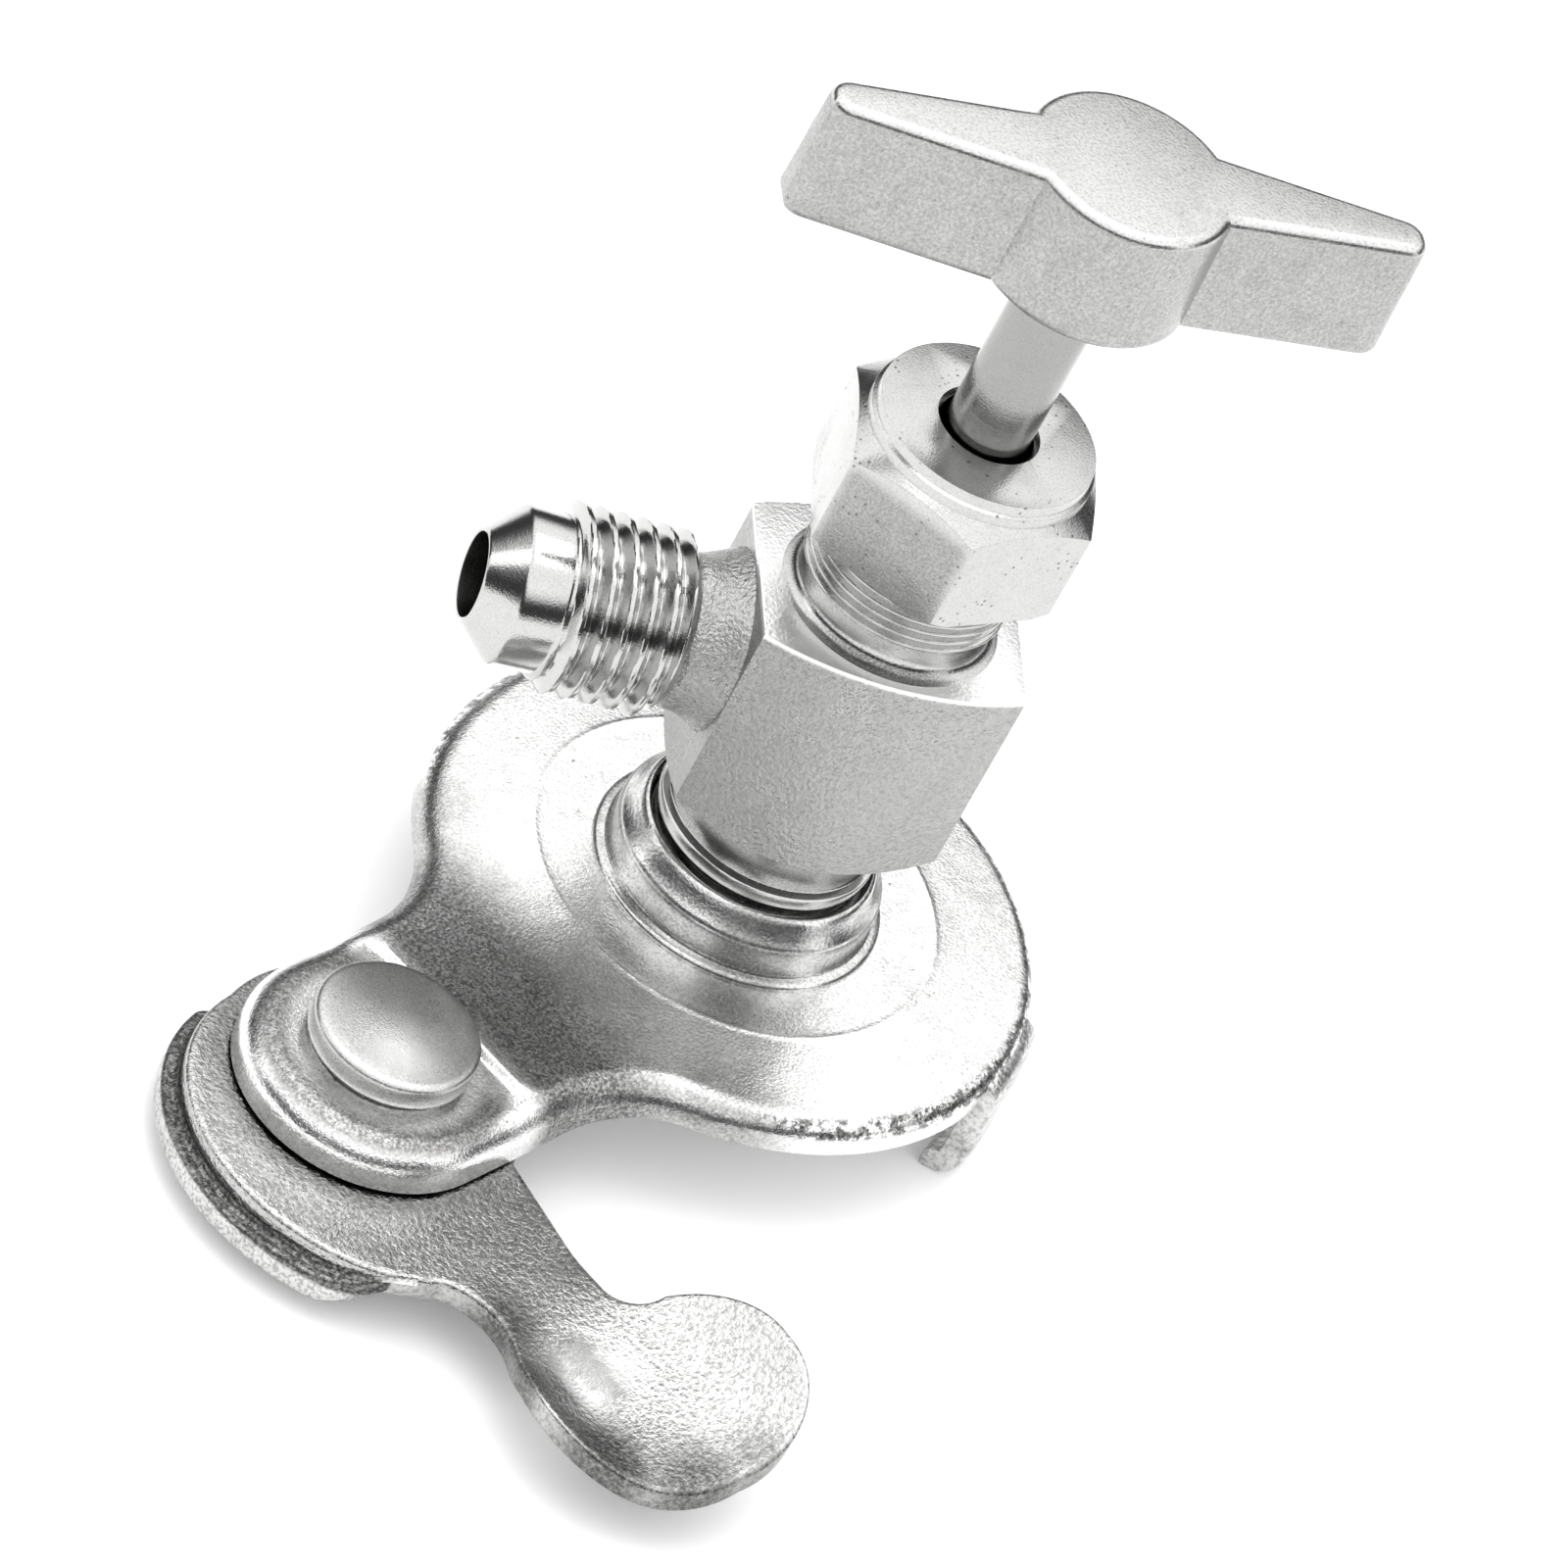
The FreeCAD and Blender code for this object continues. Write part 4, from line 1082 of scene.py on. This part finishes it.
def spindle():
    low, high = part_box("spindle")
    z0, z1 = low.z / MM, high.z / MM
    z = PLATE_TOP
    start, stop = z + 21.5, z + 27.6
    rows = circles([(1.0, z0), (2.4, z0), (2.7, z0 + 0.15), (2.9, z0 + 0.5), (2.9, start)])
    rows += threaded(start + 0.3, stop - 0.3, 3.3, 3.84, 1.0, (0.4, 0.4))
    rows += circles([(2.9, stop - 0.2), (2.52, stop), (STEM_R, stop + 0.3), (STEM_R, z + 31.0),
                     (STEM_R, z + 36.2), (STEM_R, z + 44.0), (STEM_R, z1 - 0.3), (2.2, z1), (1.0, z1)])
    verts, faces = grid(rows, closed_rows=True)
    piece("spindle_turned", verts, faces, "spindle", sharp=50)


def wing_outline():
    """Plan of hub and wings along X; counter-clockwise."""
    hub, tip, root_half, end, soft = 6.15, 1.25, 2.75, WING_REACH, 1.1
    cut = soft * 0.293
    meet = math.asin(root_half / hub)
    slope = (root_half - tip) / (end - hub * math.cos(meet))
    shoulder = tip + slope * soft

    def half_turn(points):
        return [(-x, -y) for x, y in points]

    start = (hub * math.cos(meet), -root_half)
    wing = straight(start, (end - soft, -shoulder), 10)
    wing += arc3((end - soft, -shoulder), (end - cut, -tip + cut - 0.03), (end, -tip + soft), 7)
    wing += straight((end, -tip + soft), (end, tip - soft), 3)
    wing += arc3((end, tip - soft), (end - cut, tip - cut + 0.03), (end - soft, shoulder), 7)
    wing += straight((end - soft, shoulder), (start[0], root_half), 10)
    a0 = math.degrees(meet)
    hub_arc = [polar(hub, a0 + (180 - 2 * a0) * i / 40) for i in range(40)]
    half = wing + hub_arc
    return half + half_turn(half)


def wing_handle():
    """Cast handle, a little wider at its foot, with rounded upper and lower edges."""
    low, high = HANDLE_LOW, HANDLE_TOP
    edge = wing_outline()
    draft = 0.28

    def ring(z, d):
        grown = (1 - (z - low) / (high - low)) * draft
        points = inset(edge, d - grown) if abs(d - grown) > 1e-9 else edge
        limit = WING_REACH - d
        return [(max(-limit, min(limit, x)), y, z) for x, y in points]

    levels = ((low, 0.7), (low + 0.02, 0.45), (low + 0.1, 0.2), (low + 0.3, 0.05), (low + 0.55, 0.0),
              (low + 2.5, 0.0), (low + 5.0, 0.0), (high - 0.6, 0.0), (high - 0.42, 0.03),
              (high - 0.24, 0.12),
              (high - 0.1, 0.26), (high - 0.02, 0.44), (high, 0.64))
    rows = [ring(z, d) for z, d in levels]
    verts, faces = grid(rows)
    faces += caps(rows)
    turn = Matrix.Rotation(math.radians(HANDLE_TURN), 4, "Z")
    piece("handle_cast", verts, faces, "wing_handle", turn, 28)


def small_parts():
    flat_ring("tail_ring", "tail_washer", at_pivot())
    flat_ring("gasket_ring", "can_gasket", None, 0.25)
    flat_ring("seal_ring", "seat_seal")
    for node in ("backing_washer", "packing_ring_lower", "packing_ring_upper", "thrust_washer"):
        flat_ring(node + "_ring", node, None, 0.15)
    low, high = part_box("piercing_needle")
    z0, z1 = low.z / MM, high.z / MM
    collar = PLATE_TOP + 18.8 - 1.1
    rows = [(0.0, z0), (0.1, z0), (0.28, z0 + 0.6), (0.62, z0 + 1.8), (0.97, z0 + 2.9), (1.0, z0 + 3.1),
            (1.0, collar - 0.8), (1.35, collar - 0.8), (1.5, collar - 0.65), (1.5, collar - 0.15),
            (1.35, collar),
            (1.0, collar), (1.0, z1), (0.0, z1)]
    verts, faces = lathe(rows, 64)
    piece("needle_ground", verts, faces, "piercing_needle", sharp=50)


def build_object():
    clamp_plate()
    pivot_rivet()
    spring_washer()
    threaded_bush()
    cam_lever()
    valve_body()
    gland_nut()
    spindle()
    wing_handle()
    small_parts()


# ------------------------------------------------------------------ studio

def area(name, place, target, size, power):
    data = bpy.data.lights.new(name, "AREA")
    data.shape = "RECTANGLE"
    data.size = size[0]
    data.size_y = size[1]
    data.energy = power
    lamp = bpy.data.objects.new(name, data)
    lamp.location = place
    direction = Vector(target) - Vector(place)
    lamp.rotation_euler = direction.to_track_quat("-Z", "Y").to_euler()
    bpy.context.scene.collection.objects.link(lamp)


def floor(height):
    mesh = bpy.data.meshes.new("floor")
    half = 3.0
    mesh.from_pydata([(-half, -half, height), (half, -half, height), (half, half, height),
                      (-half, half, height)], [], [(0, 1, 2, 3)])
    thing = bpy.data.objects.new("floor", mesh)
    bpy.context.scene.collection.objects.link(thing)
    g = Graph("floor")
    tone = g.ramp(g.noise(40.0, 2.0, 0.5), 0.3, 0.7, 0.0, 1.0)
    g.link(g.mix(tone, (0.93, 0.93, 0.93), (0.95, 0.95, 0.95)), g.shader.inputs["Base Color"])
    g.shader.inputs["Roughness"].default_value = 0.9
    g.shader.inputs["Specular IOR Level"].default_value = 0.0
    g.shader.inputs["Emission Color"].default_value = (1.0, 1.0, 1.0, 1.0)
    g.shader.inputs["Emission Strength"].default_value = 0.12
    mesh.materials.append(g.mat)


def world():
    """Soft white room: bright above, greyer towards the horizon."""
    w = bpy.data.worlds.new("studio")
    bpy.context.scene.world = w
    w.use_nodes = True
    t = w.node_tree
    back = t.nodes["Background"]
    coord = t.nodes.new("ShaderNodeTexCoord")
    split = t.nodes.new("ShaderNodeSeparateXYZ")
    ramp = t.nodes.new("ShaderNodeValToRGB")
    t.links.new(coord.outputs["Generated"], split.inputs[0])
    remap = t.nodes.new("ShaderNodeMapRange")
    remap.inputs["From Min"].default_value = -1.0
    t.links.new(split.outputs["Z"], remap.inputs["Value"])
    t.links.new(remap.outputs["Result"], ramp.inputs["Fac"])
    stops = ((0.0, 0.5), (0.50, 0.5), (0.53, 0.10), (0.64, 0.07), (0.70, 0.22), (0.75, 0.95), (0.81, 1.25),
             (1.0, 1.25))
    ramp.color_ramp.elements[0].position = stops[0][0]
    ramp.color_ramp.elements[0].color = (stops[0][1],) * 3 + (1.0,)
    ramp.color_ramp.elements[1].position = stops[-1][0]
    ramp.color_ramp.elements[1].color = (stops[-1][1],) * 3 + (1.0,)
    for place, value in stops[1:-1]:
        e = ramp.color_ramp.elements.new(place)
        e.color = (value,) * 3 + (1.0,)
    t.links.new(ramp.outputs["Color"], back.inputs["Color"])
    back.inputs["Strength"].default_value = 1.0


def tones():
    """Plain display tones, so that white stays white, with firmer contrast for the bright metal."""
    bpy.context.scene.view_settings.view_transform = "Standard"
    bpy.context.scene.view_settings.look = "Medium High Contrast"


def camera():
    """Long lens from the clamp's rivet side, looking down and rolled, as the object was pictured."""
    data = bpy.data.cameras.new("camera")
    data.lens = 225.0
    data.sensor_width = 36.0
    cam = bpy.data.objects.new("camera", data)
    right = Vector((0.641570, -0.665822, 0.380879))
    down = Vector((-0.294755, -0.672412, -0.678957))
    ahead = Vector((0.708172, 0.323333, -0.627654))
    turn = Matrix((right, -down, -ahead)).transposed().to_4x4()
    place = Vector((-0.397062, -0.181072, 0.359544 + 0.0046))
    cam.matrix_world = Matrix.Translation(place) @ turn
    bpy.context.scene.collection.objects.link(cam)
    bpy.context.scene.camera = cam


def studio():
    world()
    floor(cad_box[0][2])
    area("overhead", (0.1, 0.1, 0.9), (0, 0, 0.02), (0.7, 0.7), 1.6)
    area("left", (-0.5, 0.7, 0.35), (0, 0, 0.03), (0.3, 0.5), 0.5)
    area("right", (0.3, -0.8, 0.3), (0, 0, 0.03), (0.3, 0.4), 0.4)


dress_cad()
build_object()
studio()
camera()
tones()
